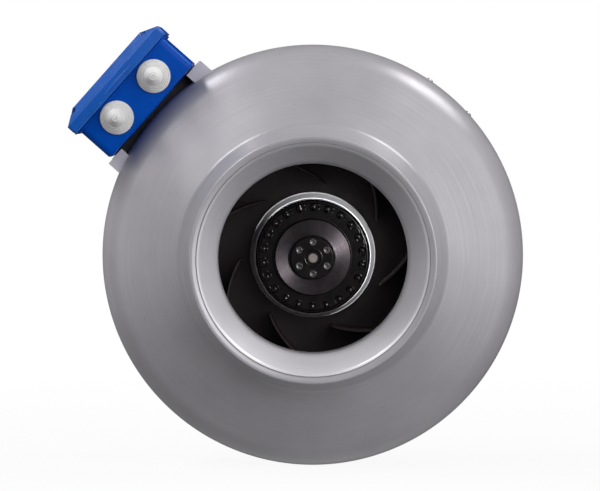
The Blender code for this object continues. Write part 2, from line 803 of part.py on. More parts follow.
def make_shaft(rotor):
    collar_rear = FRONT_BEARING - BEARING_WIDTH / 2 - GAP
    clip = REAR_BEARING + BEARING_WIDTH / 2 + GAP
    outline = [
        (0.0, HUB_FACE - 3.0),
        (SHAFT_RADIUS - 0.7, HUB_FACE - 3.0),
        (SHAFT_RADIUS, HUB_FACE - 2.3),
        (SHAFT_RADIUS, -49.5),
        (5.2, -49.5),
        (5.2, collar_rear),
        (SHAFT_RADIUS, collar_rear),
        (SHAFT_RADIUS, clip),
        (SHAFT_RADIUS - 0.8, clip),
        (SHAFT_RADIUS - 0.8, clip + 1.4),
        (SHAFT_RADIUS, clip + 1.4),
        (SHAFT_RADIUS, 20.5),
        (0.0, 20.5),
    ]
    new_object("shaft", lathe("shaft", outline, SMALL_SIDES), bright_steel(), rotor)
    clip_outline = ring(SHAFT_RADIUS - 0.8 + GAP, 6.4, clip + 0.2, clip + 1.1)
    new_object("shaft_circlip", lathe("shaft_circlip", clip_outline, SMALL_SIDES), zinc_steel(), rotor)


def make_rotor_core(rotor):
    outline = ring(STATOR_RADIUS + 0.5, CUP_RADIUS - CUP_WALL - GAP, -30.0, 10.0)
    new_object("rotor_core", lathe("rotor_core", outline, ROTOR_SIDES), lamination_steel(), rotor)


def make_clamp_ring(rotor):
    outline = [
        (CUP_RADIUS + GAP, CLAMP_FRONT),
        (CUP_RADIUS + 1.0, CLAMP_FRONT),
        (CLAMP_RADIUS, CLAMP_FOOT),
        (CLAMP_RADIUS, -GAP),
        (CUP_RADIUS + GAP, -GAP),
    ]
    new_object("clamp_ring", lathe("clamp_ring", outline, ROTOR_SIDES), bright_steel(), rotor)


# Impeller

def shroud_corners():
    """The shroud's inner face, from its inlet lip to its outer edge."""
    return [(SHROUD_LIP_RADIUS, -64.0), (82.0, -54.0), (94.0, -46.0), (IMPELLER_RADIUS, -40.0)]


def blade_top(radius):
    """How far forward a blade reaches at a radius."""
    inner_edge = [(BLADE_INNER_RADIUS, -38.0), (SHROUD_LIP_RADIUS - 1.0, -50.0), (82.6, -53.2)]
    edge = inner_edge + shroud_corners()[2:]
    for (r0, y0), (r1, y1) in zip(edge, edge[1:]):
        if radius <= r1:
            return y0 + (y1 - y0) * (radius - r0) / (r1 - r0) + 2 * GAP
    return edge[-1][1]


def blade_mesh():
    """One backward-curved blade that keeps its angle to the tangent all the way out."""
    steps = 7
    last = IMPELLER_RADIUS - 1.0
    loops = []
    for i in range(steps + 1):
        radius = BLADE_INNER_RADIUS + (last - BLADE_INNER_RADIUS) * i / steps
        middle = -log(radius / BLADE_INNER_RADIUS) / tan(BLADE_ANGLE)
        half = BLADE_THICKNESS / 2 / sin(BLADE_ANGLE) / radius
        top = blade_top(radius)
        loops.append(
            [
                around(middle - half, radius, top),
                around(middle + half, radius, top),
                around(middle + half, radius, BACK_PLATE / 2),
                around(middle - half, radius, BACK_PLATE / 2),
            ]
        )
    return loft("blade", loops)


def make_impeller(rotor):
    outline = ring(CUP_RADIUS + GAP, IMPELLER_RADIUS, 0.0, BACK_PLATE)
    hub = new_object("impeller_hub", lathe("impeller_hub", outline), black_plastic(), rotor)
    blades = []
    for i in range(BLADES):
        blades.append(tool(blade_mesh(), rotor, rotation=(0.0, TURN * (i + 0.2) / BLADES, 0.0)))
    joined(hub, blades, "UNION")
    shroud = sheet(shroud_corners(), -SHROUD_SHEET)
    new_object("impeller_shroud", lathe("impeller_shroud", shroud), black_plastic(), rotor)


# Terminal box

def lid_posts(name, radius, low, high, parent):
    """Four upright pins at the lid screws' places."""
    posts = []
    for sx in (-1, 1):
        for sy in (-1, 1):
            post = tool(plain_pin(name, radius, low, high), parent, (sx * LID_POST_X, sy * LID_POST_Y, 0.0))
            post.rotation_euler = (pi / 2, 0.0, 0.0)
            posts.append(post)
    return posts


def make_terminal_box_base(box):
    levels = [
        (1.2, 0.0),
        (0.0, 1.2),
        (0.0, BOX_FLANGE_BOTTOM),
        (-BOX_FLANGE, BOX_FLANGE_BOTTOM),
        (-BOX_FLANGE, BOX_RIM),
    ]
    body = tray("terminal_box_base", BOX_LENGTH, BOX_DEPTH, BOX_CORNER, levels)
    base = new_object("terminal_box_base", body, blue_plastic(), box)
    levels = [(BOX_WALL, BOX_WALL), (BOX_WALL, BOX_RIM + 5.0)]
    cavity = tool(tray("cavity", BOX_LENGTH, BOX_DEPTH, BOX_CORNER, levels), box)
    joined(cavity, lid_posts("post", BASE_POST_RADIUS, -5.0, BOX_RIM + 10.0, box), "DIFFERENCE")
    cutters = [cavity] + lid_posts("screw_hole", LID_SCREW_HOLE, 14.0, BOX_RIM + 5.0, box)
    for side in (-1, 1):
        hole = plain_pin("grommet_hole", GROMMET_HOLE, -6.0, 6.0, SMALL_SIDES)
        cutters.append(tool(hole, box, (side * GROMMET_SPACING / 2, -BOX_DEPTH / 2, GROMMET_HEIGHT)))
        floor_hole = tool(
            plain_pin("floor_hole", SCREW_HOLE, -6.0, 6.0), box, (side * BOX_SCREW_X, BOX_SCREW_Y, 0.0)
        )
        floor_hole.rotation_euler = (pi / 2, 0.0, 0.0)
        cutters.append(floor_hole)
    cable = tool(plain_pin("cable_hole", CABLE_HOLE, -6.0, 6.0), box, (-BOX_SHIFT, CABLE_PLANE, 0.0))
    cable.rotation_euler = (pi / 2, 0.0, 0.0)
    joined(base, cutters + [cable], "DIFFERENCE")


def lid_levels():
    return [(0.0, BOX_RIM + GAP), (0.0, LID_BAND_TOP), (LID_CHAMFER, LID_TOP)]


def make_terminal_box_lid(lid):
    length = BOX_LENGTH + 2 * LID_OVERHANG
    depth = BOX_DEPTH + 2 * LID_OVERHANG
    body = tray("terminal_box_lid", length, depth, BOX_CORNER, lid_levels())
    cover = new_object("terminal_box_lid", body, blue_plastic(), lid)
    levels = [
        (LID_WALL, BOX_RIM - 5.0),
        (LID_WALL, LID_BAND_TOP - 1.2),
        (LID_CHAMFER + 0.8, LID_TOP - LID_WALL),
    ]
    cavity = tool(tray("cavity", length, depth, BOX_CORNER, levels), lid)
    joined(cavity, lid_posts("post", LID_POST_RADIUS, BOX_RIM + GAP, LID_TOP + 5.0, lid), "DIFFERENCE")
    cutters = [cavity]
    cutters += lid_posts("well", LID_WELL_RADIUS, LID_SCREW_SEAT, LID_TOP + 5.0, lid)
    cutters += lid_posts("screw_hole", LID_SCREW_HOLE, 20.0, 45.0, lid)
    joined(cover, cutters, "DIFFERENCE")


def make_lid_gasket(lid):
    length = BOX_LENGTH + 2 * (LID_OVERHANG - LID_WALL - GAP)
    depth = BOX_DEPTH + 2 * (LID_OVERHANG - LID_WALL - GAP)
    low = BOX_RIM + GAP
    high = low + GASKET_HEIGHT
    corner = BOX_CORNER - LID_WALL
    body = tray("lid_gasket", length, depth, corner, [(0.0, low), (0.0, high)])
    gasket = new_object("lid_gasket", body, black_rubber(), lid)
    hollow = tray("hollow", length, depth, corner, [(GASKET_WIDTH, low - 2.0), (GASKET_WIDTH, high + 2.0)])
    joined(gasket, [tool(hollow, lid)], "DIFFERENCE")


def make_lid_screws(lid):
    mesh = screw_mesh("lid_screw", 3.5, 2.4, 1.6, 20.0)
    number = 0
    for sx in (-1, 1):
        for sy in (-1, 1):
            number += 1
            place = (sx * LID_POST_X, sy * LID_POST_Y, LID_SCREW_SEAT + GAP)
            screw = new_object(f"lid_screw_{number}", mesh, zinc_steel(), lid, place)
            point_head(screw, (0.0, 0.0, 1.0))


def make_cable_grommets(box):
    wall_out = -BOX_DEPTH / 2
    outline = [
        (0.0, wall_out - 18.5),
        (1.0, wall_out - 18.5),
        (1.4, wall_out - 16.0),
        (4.2, wall_out - 15.0),
        (5.2, wall_out - 12.6),
        (7.2, wall_out - 12.0),
        (8.0, wall_out - 9.4),
        (9.6, wall_out - 8.8),
        (10.3, wall_out - 6.2),
        (11.9, wall_out - 5.6),
        (GROMMET_RADIUS, wall_out - 2.4),
        (GROMMET_RADIUS, wall_out - GAP),
        (GROMMET_HOLE - GAP, wall_out - GAP),
        (GROMMET_HOLE - GAP, wall_out + BOX_WALL + GAP),
        (GROMMET_HOLE + 1.8, wall_out + BOX_WALL + GAP),
        (8.2, wall_out + BOX_WALL + 2.4),
        (8.2, wall_out - 3.0),
        (3.0, wall_out - 12.6),
        (0.0, wall_out - 13.6),
    ]
    mesh = lathe("cable_grommet", outline, SMALL_SIDES)
    for number, side in enumerate((-1, 1), 1):
        place = (side * GROMMET_SPACING / 2, 0.0, GROMMET_HEIGHT)
        new_object(f"cable_grommet_{number}", mesh, grey_rubber(), box, place)


def casing_envelope(fan):
    """The casing's outside, grown by the gap, to trim what rests on it."""
    corners, radii = outlet_corners()
    rear = offset(rounded(corners[2:], radii[2:]), -GAP)
    front = offset(rounded(inlet_corners(LAP_STEP), (FLARE_ARC, ROOT_ARC, SHOULDER_ARC)), -GAP)
    outline = [(0.0, INLET_RIM)] + front[:-1] + rear[1:] + [(0.0, OUTLET_RIM)]
    return tool(lathe("casing_envelope", outline), fan)


def make_box_bracket(box, fan):
    top = -GAP
    levels = [(0.0, top - SADDLE_SHEET), (0.0, top)]
    plate = tray("box_bracket", SADDLE_LENGTH, SADDLE_REAR - SADDLE_FRONT, 7.0, levels)
    middle = (0.0, (SADDLE_FRONT + SADDLE_REAR) / 2, 0.0)
    bracket = new_object("box_bracket", plate, pale_plastic(), box, middle)
    parts = []
    for side in (-1, 1):
        low = (side * SADDLE_FOOT_X - SADDLE_FOOT_WIDTH / 2, SADDLE_FOOT_FRONT, -SADDLE_DROP)
        high = (side * SADDLE_FOOT_X + SADDLE_FOOT_WIDTH / 2, SADDLE_FOOT_REAR, top - 1.0)
        parts.append(tool(block("foot", low, high), box))
        pillar = tool(plain_pin("pillar", 5.5, -top + 1.0, 20.0, 12), box)
        pillar.location = [v * MM for v in (side * BOX_SCREW_X, BOX_SCREW_Y, 0.0)]
        pillar.rotation_euler = (-pi / 2, 0.0, 0.0)
        parts.append(pillar)
    joined(bracket, parts, "UNION")
    cutters = [casing_envelope(fan)]
    for side in (-1, 1):
        hole = tool(plain_pin("hole", SCREW_HOLE, -30.0, 30.0), box, (side * BOX_SCREW_X, BOX_SCREW_Y, 0.0))
        hole.rotation_euler = (pi / 2, 0.0, 0.0)
        cutters.append(hole)
    hole = plain_pin("cable_hole", SADDLE_BORE, -6.0, 6.0, SMALL_SIDES)
    cable = tool(hole, box, (-BOX_SHIFT, CABLE_PLANE, 0.0))
    cable.rotation_euler = (pi / 2, 0.0, 0.0)
    joined(bracket, cutters + [cable], "DIFFERENCE")


def make_box_pad(box, fan):
    """The soft strip in front of the saddle that closes the gap between the box and the casing."""
    low = (-PAD_HALF_LENGTH, PAD_FRONT, -SADDLE_DROP)
    high = (PAD_HALF_LENGTH, SADDLE_FRONT - GAP, -GAP)
    pad = new_object("box_pad", block("box_pad", low, high), black_rubber(), box)
    joined(pad, [casing_envelope(fan)], "DIFFERENCE")


def make_box_screws(box):
    mesh = screw_mesh("box_screw", 3.8, 2.2, 2.0, 19.0)
    for number, side in enumerate((-1, 1), 1):
        place = (side * BOX_SCREW_X, BOX_SCREW_Y, BOX_WALL + GAP)
        screw = new_object(f"box_screw_{number}", mesh, zinc_steel(), box, place)
        point_head(screw, (0.0, 0.0, 1.0))


def make_terminal_block(box):
    body = block("terminal_block", (-22.0, -24.0, BOX_WALL + GAP), (26.0, -8.0, 18.0))
    terminals = new_object("terminal_block", body, pale_plastic(), box)
    cutters = []
    for i in range(TERMINALS):
        x = TERMINAL_PITCH * i - 18.0
        cutters.append(tool(block("slot", (x - 2.5, -26.0, 10.0), (x + 2.5, -18.0, 14.0)), box))
        well = tool(plain_pin("well", 2.2, 13.0, 20.0), box, (x, -15.0, 0.0))
        well.rotation_euler = (pi / 2, 0.0, 0.0)
        cutters.append(well)
    joined(terminals, cutters, "DIFFERENCE")


def make_capacitor(box):
    outline = [
        (0.0, -30.0),
        (1.0, -30.0),
        (CAPACITOR_RADIUS - 1.0, -28.5),
        (CAPACITOR_RADIUS, -27.0),
        (CAPACITOR_RADIUS, 24.0),
        (0.0, 24.0),
    ]
    can = lathe("capacitor", outline, SMALL_SIDES)
    capacitor = new_object("capacitor", can, cast_aluminium(), box, CAPACITOR_PLACE)
    capacitor.rotation_euler = (0.0, 0.0, pi / 2)


def make_casing_grommet(fan):
    """A rubber bush in the casing's cable hole: its own axis points out of the casing along -Y."""
    bore = CABLE_RADIUS + GAP
    outline = [
        (bore, -2.0),
        (7.0, -2.0),
        (7.0, -GAP),
        (5.0, -GAP),
        (5.0, SHEET + 1.3),
        (7.0, SHEET + 1.3),
        (6.4, SHEET + 3.2),
        (bore, SHEET + 3.2),
    ]
    place = around(-BOX_TILT, CASING_RADIUS, CABLE_PLANE)
    bush = lathe("casing_grommet", outline, SMALL_SIDES)
    bush = new_object("casing_grommet", bush, black_rubber(), fan, place)
    point_head(bush, around(-BOX_TILT, 1.0, 0.0))


def make_motor_cable(fan):
    """Runs back from the stator flange, bends outwards and goes through the casing into the box."""
    corners = [
        (FLANGE_SCREW_CIRCLE, STATOR_FLANGE_FRONT),
        (FLANGE_SCREW_CIRCLE, CABLE_RUN),
        (80.0, CABLE_RUN),
        (130.0, CABLE_PLANE),
        (BOX_BASE + 7.0, CABLE_PLANE),
    ]
    bend = rounded(corners, (4.5, 20.0, 20.0), radians(30))
    sides = 8
    loops = []
    for i, (radius, y) in enumerate(bend):
        before = Vector(bend[max(i - 1, 0)])
        after = Vector(bend[min(i + 1, len(bend) - 1)])
        along = (after - before).normalized()
        loop = []
        for side in range(sides):
            angle = TURN * side / sides
            out = CABLE_RADIUS * cos(angle)
            loop.append((CABLE_RADIUS * sin(angle), y + along.x * out, radius - along.y * out))
        loops.append(loop)
    cable = new_object("motor_cable", loft("motor_cable", loops), black_rubber(), fan)
    cable.rotation_euler = (0.0, -BOX_TILT, 0.0)


def clear_scene():
    for thing in list(bpy.data.objects):
        bpy.data.objects.remove(thing)


def build():
    clear_scene()
    fan = empty("fan_axis", AXIS_POINT)
    rotor = empty("rotor_axis", (0, 0, 0), parent=fan)
    cages = [empty(f"cage_axis_{i}", (0, 0, 0), parent=fan) for i in (1, 2)]
    box_place = Vector(around(-BOX_TILT, BOX_BASE, 0.0)) + Vector(around(pi / 2 - BOX_TILT, BOX_SHIFT, 0.0))
    box = empty("box_frame", box_place, (0.0, -BOX_TILT, 0.0), fan)
    lid = empty("lid_frame", (0, 0, 0), parent=box)
    bpy.context.view_layer.update()

    make_inlet_casing(fan)
    make_outlet_casing(fan)
    make_casing_seal(fan)
    make_inlet_nozzle(fan)
    make_wall_fixings(fan)
    make_motor_bracket(fan)
    make_bracket_screws(fan)
    make_flange_screws(fan)
    make_stator_flange(fan)
    make_stator_core(fan)
    make_windings(fan)
    make_bearings(fan, rotor, cages)
    make_wave_spring(fan)
    make_rotor_cup(rotor)
    make_label_disc(rotor)
    make_rotor_hub(rotor)
    make_hub_rivets(rotor)
    make_shaft(rotor)
    make_rotor_core(rotor)
    make_clamp_ring(rotor)
    make_impeller(rotor)
    make_terminal_box_base(box)
    make_terminal_box_lid(lid)
    make_lid_gasket(lid)
    make_lid_screws(lid)
    make_cable_grommets(box)
    make_box_bracket(box, fan)
    make_box_pad(box, fan)
    make_box_screws(box)
    make_terminal_block(box)
    make_capacitor(box)
    make_casing_grommet(fan)
    make_motor_cable(fan)


build()
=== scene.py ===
import json
from math import atan2, ceil, cos, log, pi, radians, sin, sqrt, tan

import bmesh
import bpy
from mathutils import Matrix, Vector


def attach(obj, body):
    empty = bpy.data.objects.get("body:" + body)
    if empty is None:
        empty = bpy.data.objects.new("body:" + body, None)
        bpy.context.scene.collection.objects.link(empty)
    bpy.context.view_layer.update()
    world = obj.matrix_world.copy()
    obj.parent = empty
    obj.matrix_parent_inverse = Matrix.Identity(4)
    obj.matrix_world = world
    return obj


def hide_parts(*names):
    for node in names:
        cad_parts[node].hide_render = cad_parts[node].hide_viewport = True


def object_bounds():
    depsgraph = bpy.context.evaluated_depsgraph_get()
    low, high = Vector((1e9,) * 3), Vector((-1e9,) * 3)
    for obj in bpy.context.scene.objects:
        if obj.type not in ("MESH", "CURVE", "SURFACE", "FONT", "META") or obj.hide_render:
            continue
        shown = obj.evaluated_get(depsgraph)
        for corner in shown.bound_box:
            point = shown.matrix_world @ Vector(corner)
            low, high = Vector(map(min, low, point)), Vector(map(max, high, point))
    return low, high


# The looks of an inline duct fan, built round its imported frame. Lengths in the shapes are in
# millimetres from the fan's axis and seam plane; (radius, y) outlines are turned round the axis.

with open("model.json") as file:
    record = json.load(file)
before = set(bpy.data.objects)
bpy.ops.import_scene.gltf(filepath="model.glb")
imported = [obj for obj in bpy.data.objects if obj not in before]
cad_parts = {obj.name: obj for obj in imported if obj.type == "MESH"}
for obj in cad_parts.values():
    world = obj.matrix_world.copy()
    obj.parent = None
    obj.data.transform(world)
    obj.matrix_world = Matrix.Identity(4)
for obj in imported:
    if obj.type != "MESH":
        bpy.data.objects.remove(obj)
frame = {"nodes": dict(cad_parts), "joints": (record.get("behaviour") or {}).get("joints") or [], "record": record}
CAD_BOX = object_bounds()

MM = 0.001
TURN = 2 * pi
ACROSS = Vector((1.0, 0.0, 0.0))
ALONG_AXIS = Vector((0.0, 1.0, 0.0))

LID_OVERHANG = 4.1  # of the terminal box's lid, past its base

JOINTS = {joint["name"]: joint for joint in frame["joints"]}
AXIS = Vector(JOINTS["rotor_spin"]["pos_m"])
BOX_OUT = Vector(JOINTS["lid_lift"]["axis"]).normalized()
BOX_ALONG = Vector((BOX_OUT.z, 0.0, -BOX_OUT.x))
BOX_TILT = atan2(-BOX_OUT.x, BOX_OUT.z)


def span(node, direction):
    """How far a CAD node reaches from the fan's axis point, both ways along a direction, in mm."""
    reach = [(vert.co - AXIS).dot(direction) / MM for vert in frame["nodes"][node].data.vertices]
    return min(reach), max(reach)


# Sizes read from the frame
CASING_RADIUS = span("inlet_casing", ACROSS)[1]
INLET_RIM, LAP_END = span("inlet_casing", ALONG_AXIS)
OUTLET_RIM = span("outlet_casing", ALONG_AXIS)[1]
BOX_BASE = span("terminal_box_base", BOX_OUT)[0]
BOX_SHIFT = sum(span("terminal_box_base", BOX_ALONG)) / 2
BOX_DEPTH = 2 * span("terminal_box_lid", ALONG_AXIS)[1] - 2 * LID_OVERHANG
CUP_FRONT, CUP_REAR = span("rotor_cup", ALONG_AXIS)

# Casing and nozzle
SPIGOT_RADIUS = 99.0
SHEET = 1.2
GAP = 0.3
CONE_RISE = 0.689
INLET_SHOULDER = -31.2
OUTLET_SHOULDER = 48.2
SHOULDER_ARC = 46.0
ROOT_ARC = 10.0
SPIGOT_LENGTH = 18.0
FLARE_RADIUS = 107.5
FLARE_ARC = 6.0
LAP_RADIUS = 168.8
RIM_INNER = 93.4
RIM_CREST = 96.4
RIM_DROP = 1.0
HEM = 3.0
HEM_LENGTH = 8.0
SPIN_STEP = 0.9  # between the points of a spun outline
THROAT_RADIUS = 76.4
NOZZLE_END = -61.0
NOZZLE_ARC = 14.0
NOZZLE_CONE = 91.0

# Rotor
CUP_RADIUS = 46.3
CUP_FACE = -48.0
BOSS_RADIUS = 31.0
VENTS = 22
VENT_CIRCLE = 40.4
HUB_RADIUS = 17.4
HUB_FACE = -72.0
RIVETS = 6
RIVET_CIRCLE = 12.8
SHAFT_RADIUS = 4.0
LABEL_INNER = 17.9
LABEL_OUTER = 30.3
LABEL_FACE = 1.1  # in front of the cup
CUP_WALL = 2.3
CUP_FLANGE_RADIUS = 55.0
CUP_FLANGE = (2.8, 4.6)  # its front and rear faces
CLAMP_RADIUS = 51.2
LOUVRE_RADIUS = 3.1
LOUVRE_HEIGHT = 2.1
BACK_PLATE = 2.4
SHROUD_SHEET = 1.6
BLADES = 7
BLADE_ANGLE = radians(33.0)
BLADE_INNER = 59.0
IMPELLER_RADIUS = 110.0

# Motor mount
FLANGE_FACES = (18.5, 21.7)
BRACKET_FACES = (22.0, 24.0)
ARM_FACE = 33.5
TAB_GAP = 1.3  # a flat tab inside a round casing
BEARING_HALF = 3.5  # half its width
BEARINGS = (("front", -33.4), ("rear", 12.9))
CABLE_PLANE = 17.5
CABLE_RADIUS = 3.2

# Terminal box, in its own frame
BOX_LENGTH = 101.6
BOX_WALL = 2.2
BOX_RIM = 33.0
LID_BAND_TOP = 42.0
LID_TOP = 49.8
LID_CHAMFER = 13.7
GASKET_INSET = 2.3
LID_CORNERS = [(x, y) for x in (-43.0, 43.0) for y in (-42.5, 42.5)]
LID_SCREW_SEAT = 39.0
LID_SCREW_HOLE = 1.9
LID_WELL_RADIUS = 3.9
LID_POST_RADIUS = 5.2
BASE_POST_RADIUS = 4.6
GROMMET_SPACING = 44.8
GROMMET_RADIUS = 13.7
GROMMET_HEIGHT = 17.7
GROMMET_HOLE = 10.2
BOX_SCREW = (30.0, 16.0)
BOX_SCREW_HOLE = 2.3
CABLE_HOLE = 4.0
TEETH = 19
TOOTH_PITCH = 2.8

TURNED = 256  # sides of a large round piece
SMALL = 64

# Lamps and camera, in metres
SOFTBOX_DISTANCE = 1.5
BEAM_DISTANCE = 1.8
FLOOR_GAP = 0.0005
CAMERA_DISTANCE = 3.6
CAMERA_TILT = radians(2.2)
VIEW_WIDTH = 0.49261  # of the picture, at the seam plane
VIEW_LEFT = 0.010427  # how far the picture's middle lies from the fan's axis
VIEW_ABOVE = 0.007307

FAN_PLACE = Matrix.Translation(AXIS) @ Matrix.Scale(MM, 4)
BOX_ORIGIN = AXIS + (BOX_OUT * BOX_BASE + BOX_ALONG * BOX_SHIFT) * MM
BOX_TURN = Matrix((BOX_ALONG, ALONG_AXIS, BOX_OUT)).transposed().to_4x4()
BOX_PLACE = Matrix.Translation(BOX_ORIGIN) @ BOX_TURN @ Matrix.Scale(MM, 4)


# Outlines

def arc(centre, radius, start, end, steps):
    angles = [start + (end - start) * i / steps for i in range(steps + 1)]
    return [(centre[0] + radius * cos(a), centre[1] + radius * sin(a)) for a in angles]


def corner_arc(before, corner, after, radius, step):
    """The arc that rounds one corner."""
    here = Vector(corner)
    into = Vector(before) - here
    out = Vector(after) - here
    half = into.angle(out) / 2
    radius = min(radius, 0.48 * min(into.length, out.length) * tan(half))
    into.normalize()
    out.normalize()
    centre = here + (into + out).normalized() * radius / sin(half)
    first = here + into * radius / tan(half) - centre
    last = here + out * radius / tan(half) - centre
    start = atan2(first.y, first.x)
    sweep = (atan2(last.y, last.x) - start + pi) % TURN - pi
    return arc(centre, radius, start, start + sweep, max(3, ceil(abs(sweep) / step)))


def rounded(corners, radii, step=radians(3)):
    """A polyline whose inner corners are replaced by arcs."""
    points = [corners[0]]
    for before, corner, after, radius in zip(corners, corners[1:], corners[2:], radii):
        points += corner_arc(before, corner, after, radius, step) if radius > 0 else [corner]
    points.append(corners[-1])
    return points


def offset(points, distance):
    """The polyline moved sideways, to the left of its direction."""
    moved = []
    for i, point in enumerate(points):
        before = Vector(points[max(i - 1, 0)])
        after = Vector(points[min(i + 1, len(points) - 1)])
        here = Vector(point)
        into = (here - before).normalized() if i else (after - here).normalized()
        out = (after - here).normalized() if i < len(points) - 1 else into
        left = (Vector((-into.y, into.x)) + Vector((-out.y, out.x))).normalized()
        moved.append(tuple(here + left * distance / left.dot(Vector((-out.y, out.x)))))
    return moved


def softened(loop, radius, closed=True, least=radians(28)):
    """The outline with every sharp corner rounded, and close points beside each bend."""
    count = len(loop)
    points = []
    for i, corner in enumerate(loop):
        if not closed and i in (0, count - 1):
            points.append(corner)
            continue
        before, after = loop[i - 1], loop[(i + 1) % count]
        turn = (Vector(corner) - Vector(before)).angle(Vector(after) - Vector(corner))
        points += corner_arc(before, corner, after, radius, radians(18)) if turn > least else [corner]
    return supported(points, closed)


def supported(points, closed, near=0.15):
    """Adds a point close to both ends of each long straight, so that flat faces shade flat."""
    made = []
    count = len(points)
    for i, point in enumerate(points):
        made.append(point)
        if i == count - 1 and not closed:
            break
        here, there = Vector(point), Vector(points[(i + 1) % count])
        length = (there - here).length
        if length > 5 * near:
            along = (there - here) / length * near
            made += [tuple(here + along), tuple(there - along)]
    return made


def resampled(points, spacing):
    """The polyline with extra points, so that no straight is longer than the spacing."""
    made = []
    for here, there in zip(points, points[1:]):
        a, b = Vector(here), Vector(there)
        parts = max(1, ceil((b - a).length / spacing))
        made += [tuple(a.lerp(b, i / parts)) for i in range(parts)]
    return made + [points[-1]]


# Meshes

def new_piece(name, verts, faces, place, look):
    """A smooth mesh object with its vertices in the row frame."""
    mesh = bpy.data.meshes.new(name)
    mesh.from_pydata([place @ Vector(v) for v in verts], [], faces)
    shape = bmesh.new()
    shape.from_mesh(mesh)
    bmesh.ops.remove_doubles(shape, verts=shape.verts, dist=1e-7)
    bmesh.ops.recalc_face_normals(shape, faces=shape.faces)
    shape.to_mesh(mesh)
    shape.free()
    mesh.materials.append(look)
    mesh.shade_smooth()
    mesh.set_sharp_from_angle(angle=radians(40))
    piece = bpy.data.objects.new(name, mesh)
    bpy.context.collection.objects.link(piece)
    return piece


def skin(rows, count, closed):
    """Faces between equal rings of points, one ring after the other."""
    faces = []
    for i in range(rows if closed else rows - 1):
        k = (i + 1) % rows
        for j in range(count):
            n = (j + 1) % count
            faces.append((i * count + j, i * count + n, k * count + n, k * count + j))
    return faces


def turned(outline, sides=TURNED, closed=True):
    """Vertices and faces of an outline turned round the local Y axis."""
    angles = [TURN * j / sides for j in range(sides)]
    turns = [(sin(a), cos(a)) for a in angles]
    verts = [(r * s, y, r * c) for r, y in outline for s, c in turns]
    return verts, skin(len(outline), sides, closed)


def lathe(name, outline, look, place=FAN_PLACE, sides=TURNED, soft=0.3):
    """A turned piece with softened corners. It is closed unless its ends are at radius 0."""
    closed = outline[0][0] > 0
    verts, faces = turned(softened(outline, soft, closed), sides, closed)
    return new_piece(name, verts, faces, place, look)


def lofted(loops):
    """Vertices and faces that skin equal loops one after the other, with both ends closed."""
    count = len(loops[0])
    verts = [point for loop in loops for point in loop]
    faces = skin(len(loops), count, False)
    faces.append(tuple(range(count))[::-1])
    faces.append(tuple(range(len(verts) - count, len(verts))))
    return verts, faces


def rounded_rectangle(length, depth, corner, height, steps=8):
    points = []
    for quarter, (sx, sy) in enumerate(((1, 1), (-1, 1), (-1, -1), (1, -1))):
        centre = (sx * (length / 2 - corner), sy * (depth / 2 - corner))
        points += arc(centre, corner, quarter * pi / 2, (quarter + 1) * pi / 2, steps)
    return [(x, y, height) for x, y in points]


def tray(length, depth, corner, levels, soft=0.5, least_corner=0.8):
    """A loft of rounded rectangles; each level is (inset, height), with its bends softened."""
    loops = []
    for inset, height in softened(levels, soft, False):
        radius = max(corner - inset, least_corner)
        loops.append(rounded_rectangle(length - 2 * inset, depth - 2 * inset, radius, height))
    return lofted(loops)


def cut(piece, cutters, operation="DIFFERENCE"):
    """Cuts the piece by the cutters, or unites it with them, and removes them."""
    for cutter in cutters:
        modifier = piece.modifiers.new("cut", "BOOLEAN")
        modifier.operation = operation
        modifier.solver = "EXACT"
        modifier.object = cutter
        bpy.context.view_layer.update()
        graph = bpy.context.evaluated_depsgraph_get()
        mesh = bpy.data.meshes.new_from_object(piece.evaluated_get(graph))
        piece.modifiers.clear()
        piece.data = mesh
        bpy.data.objects.remove(cutter)
    piece.data.shade_smooth()
    piece.data.set_sharp_from_angle(angle=radians(40))
    return piece


def around(angle, radius, y):
    """A point at an angle from straight up, clockwise as seen from the inlet."""
    return Vector((radius * sin(angle), y, radius * cos(angle)))


def headed(place, point, direction):
    """A place whose -Y side faces a direction, at a point of another place."""
    turn = Vector((0, -1, 0)).rotation_difference(Vector(direction)).to_matrix().to_4x4()
    return place @ Matrix.Translation(Vector(point)) @ turn


def belongs(piece, body, slot, *nodes):
    """The piece rides on a body and stands for CAD nodes, which it hides. Its slot is not used."""
    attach(piece, body)
    if nodes:
        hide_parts(*nodes)
    return piece


# Materials

def node(tree, kind, inputs=None, **settings):
    made = tree.nodes.new("ShaderNode" + kind)
    for key, value in settings.items():
        setattr(made, key, value)
    for key, value in (inputs or {}).items():
        if isinstance(value, bpy.types.NodeSocket):
            tree.links.new(value, made.inputs[key])
        else:
            made.inputs[key].default_value = value
    return made


def noise(tree, vector, size, detail=3.0, rough=0.5):
    """Noise whose features are about size millimetres wide."""
    inputs = {"Vector": vector, "Scale": 1.0 / (size * MM), "Detail": detail, "Roughness": rough}
    return node(tree, "TexNoise", inputs).outputs["Fac"]


def ranged(tree, value, low, high, start=0.3, end=0.7):
    """Spreads a 0 to 1 value over a range."""
    inputs = {"Value": value, "From Min": start, "From Max": end, "To Min": low, "To Max": high}
    return node(tree, "MapRange", inputs).outputs["Result"]


def calc(tree, operation, first, second=0.0):
    return node(tree, "Math", {0: first, 1: second}, operation=operation).outputs[0]


def polar(tree, position):
    """Radius from the fan's axis in metres, with the unit direction across it."""
    from_axis = node(tree, "VectorMath", {0: position, 1: tuple(AXIS)}, operation="SUBTRACT").outputs[0]
    flat = node(tree, "VectorMath", {0: from_axis, 1: (1.0, 0.0, 1.0)}, operation="MULTIPLY").outputs[0]
    radius = node(tree, "VectorMath", {0: flat}, operation="LENGTH").outputs["Value"]
    unit = node(tree, "VectorMath", {0: flat}, operation="NORMALIZE").outputs[0]
    return radius, unit


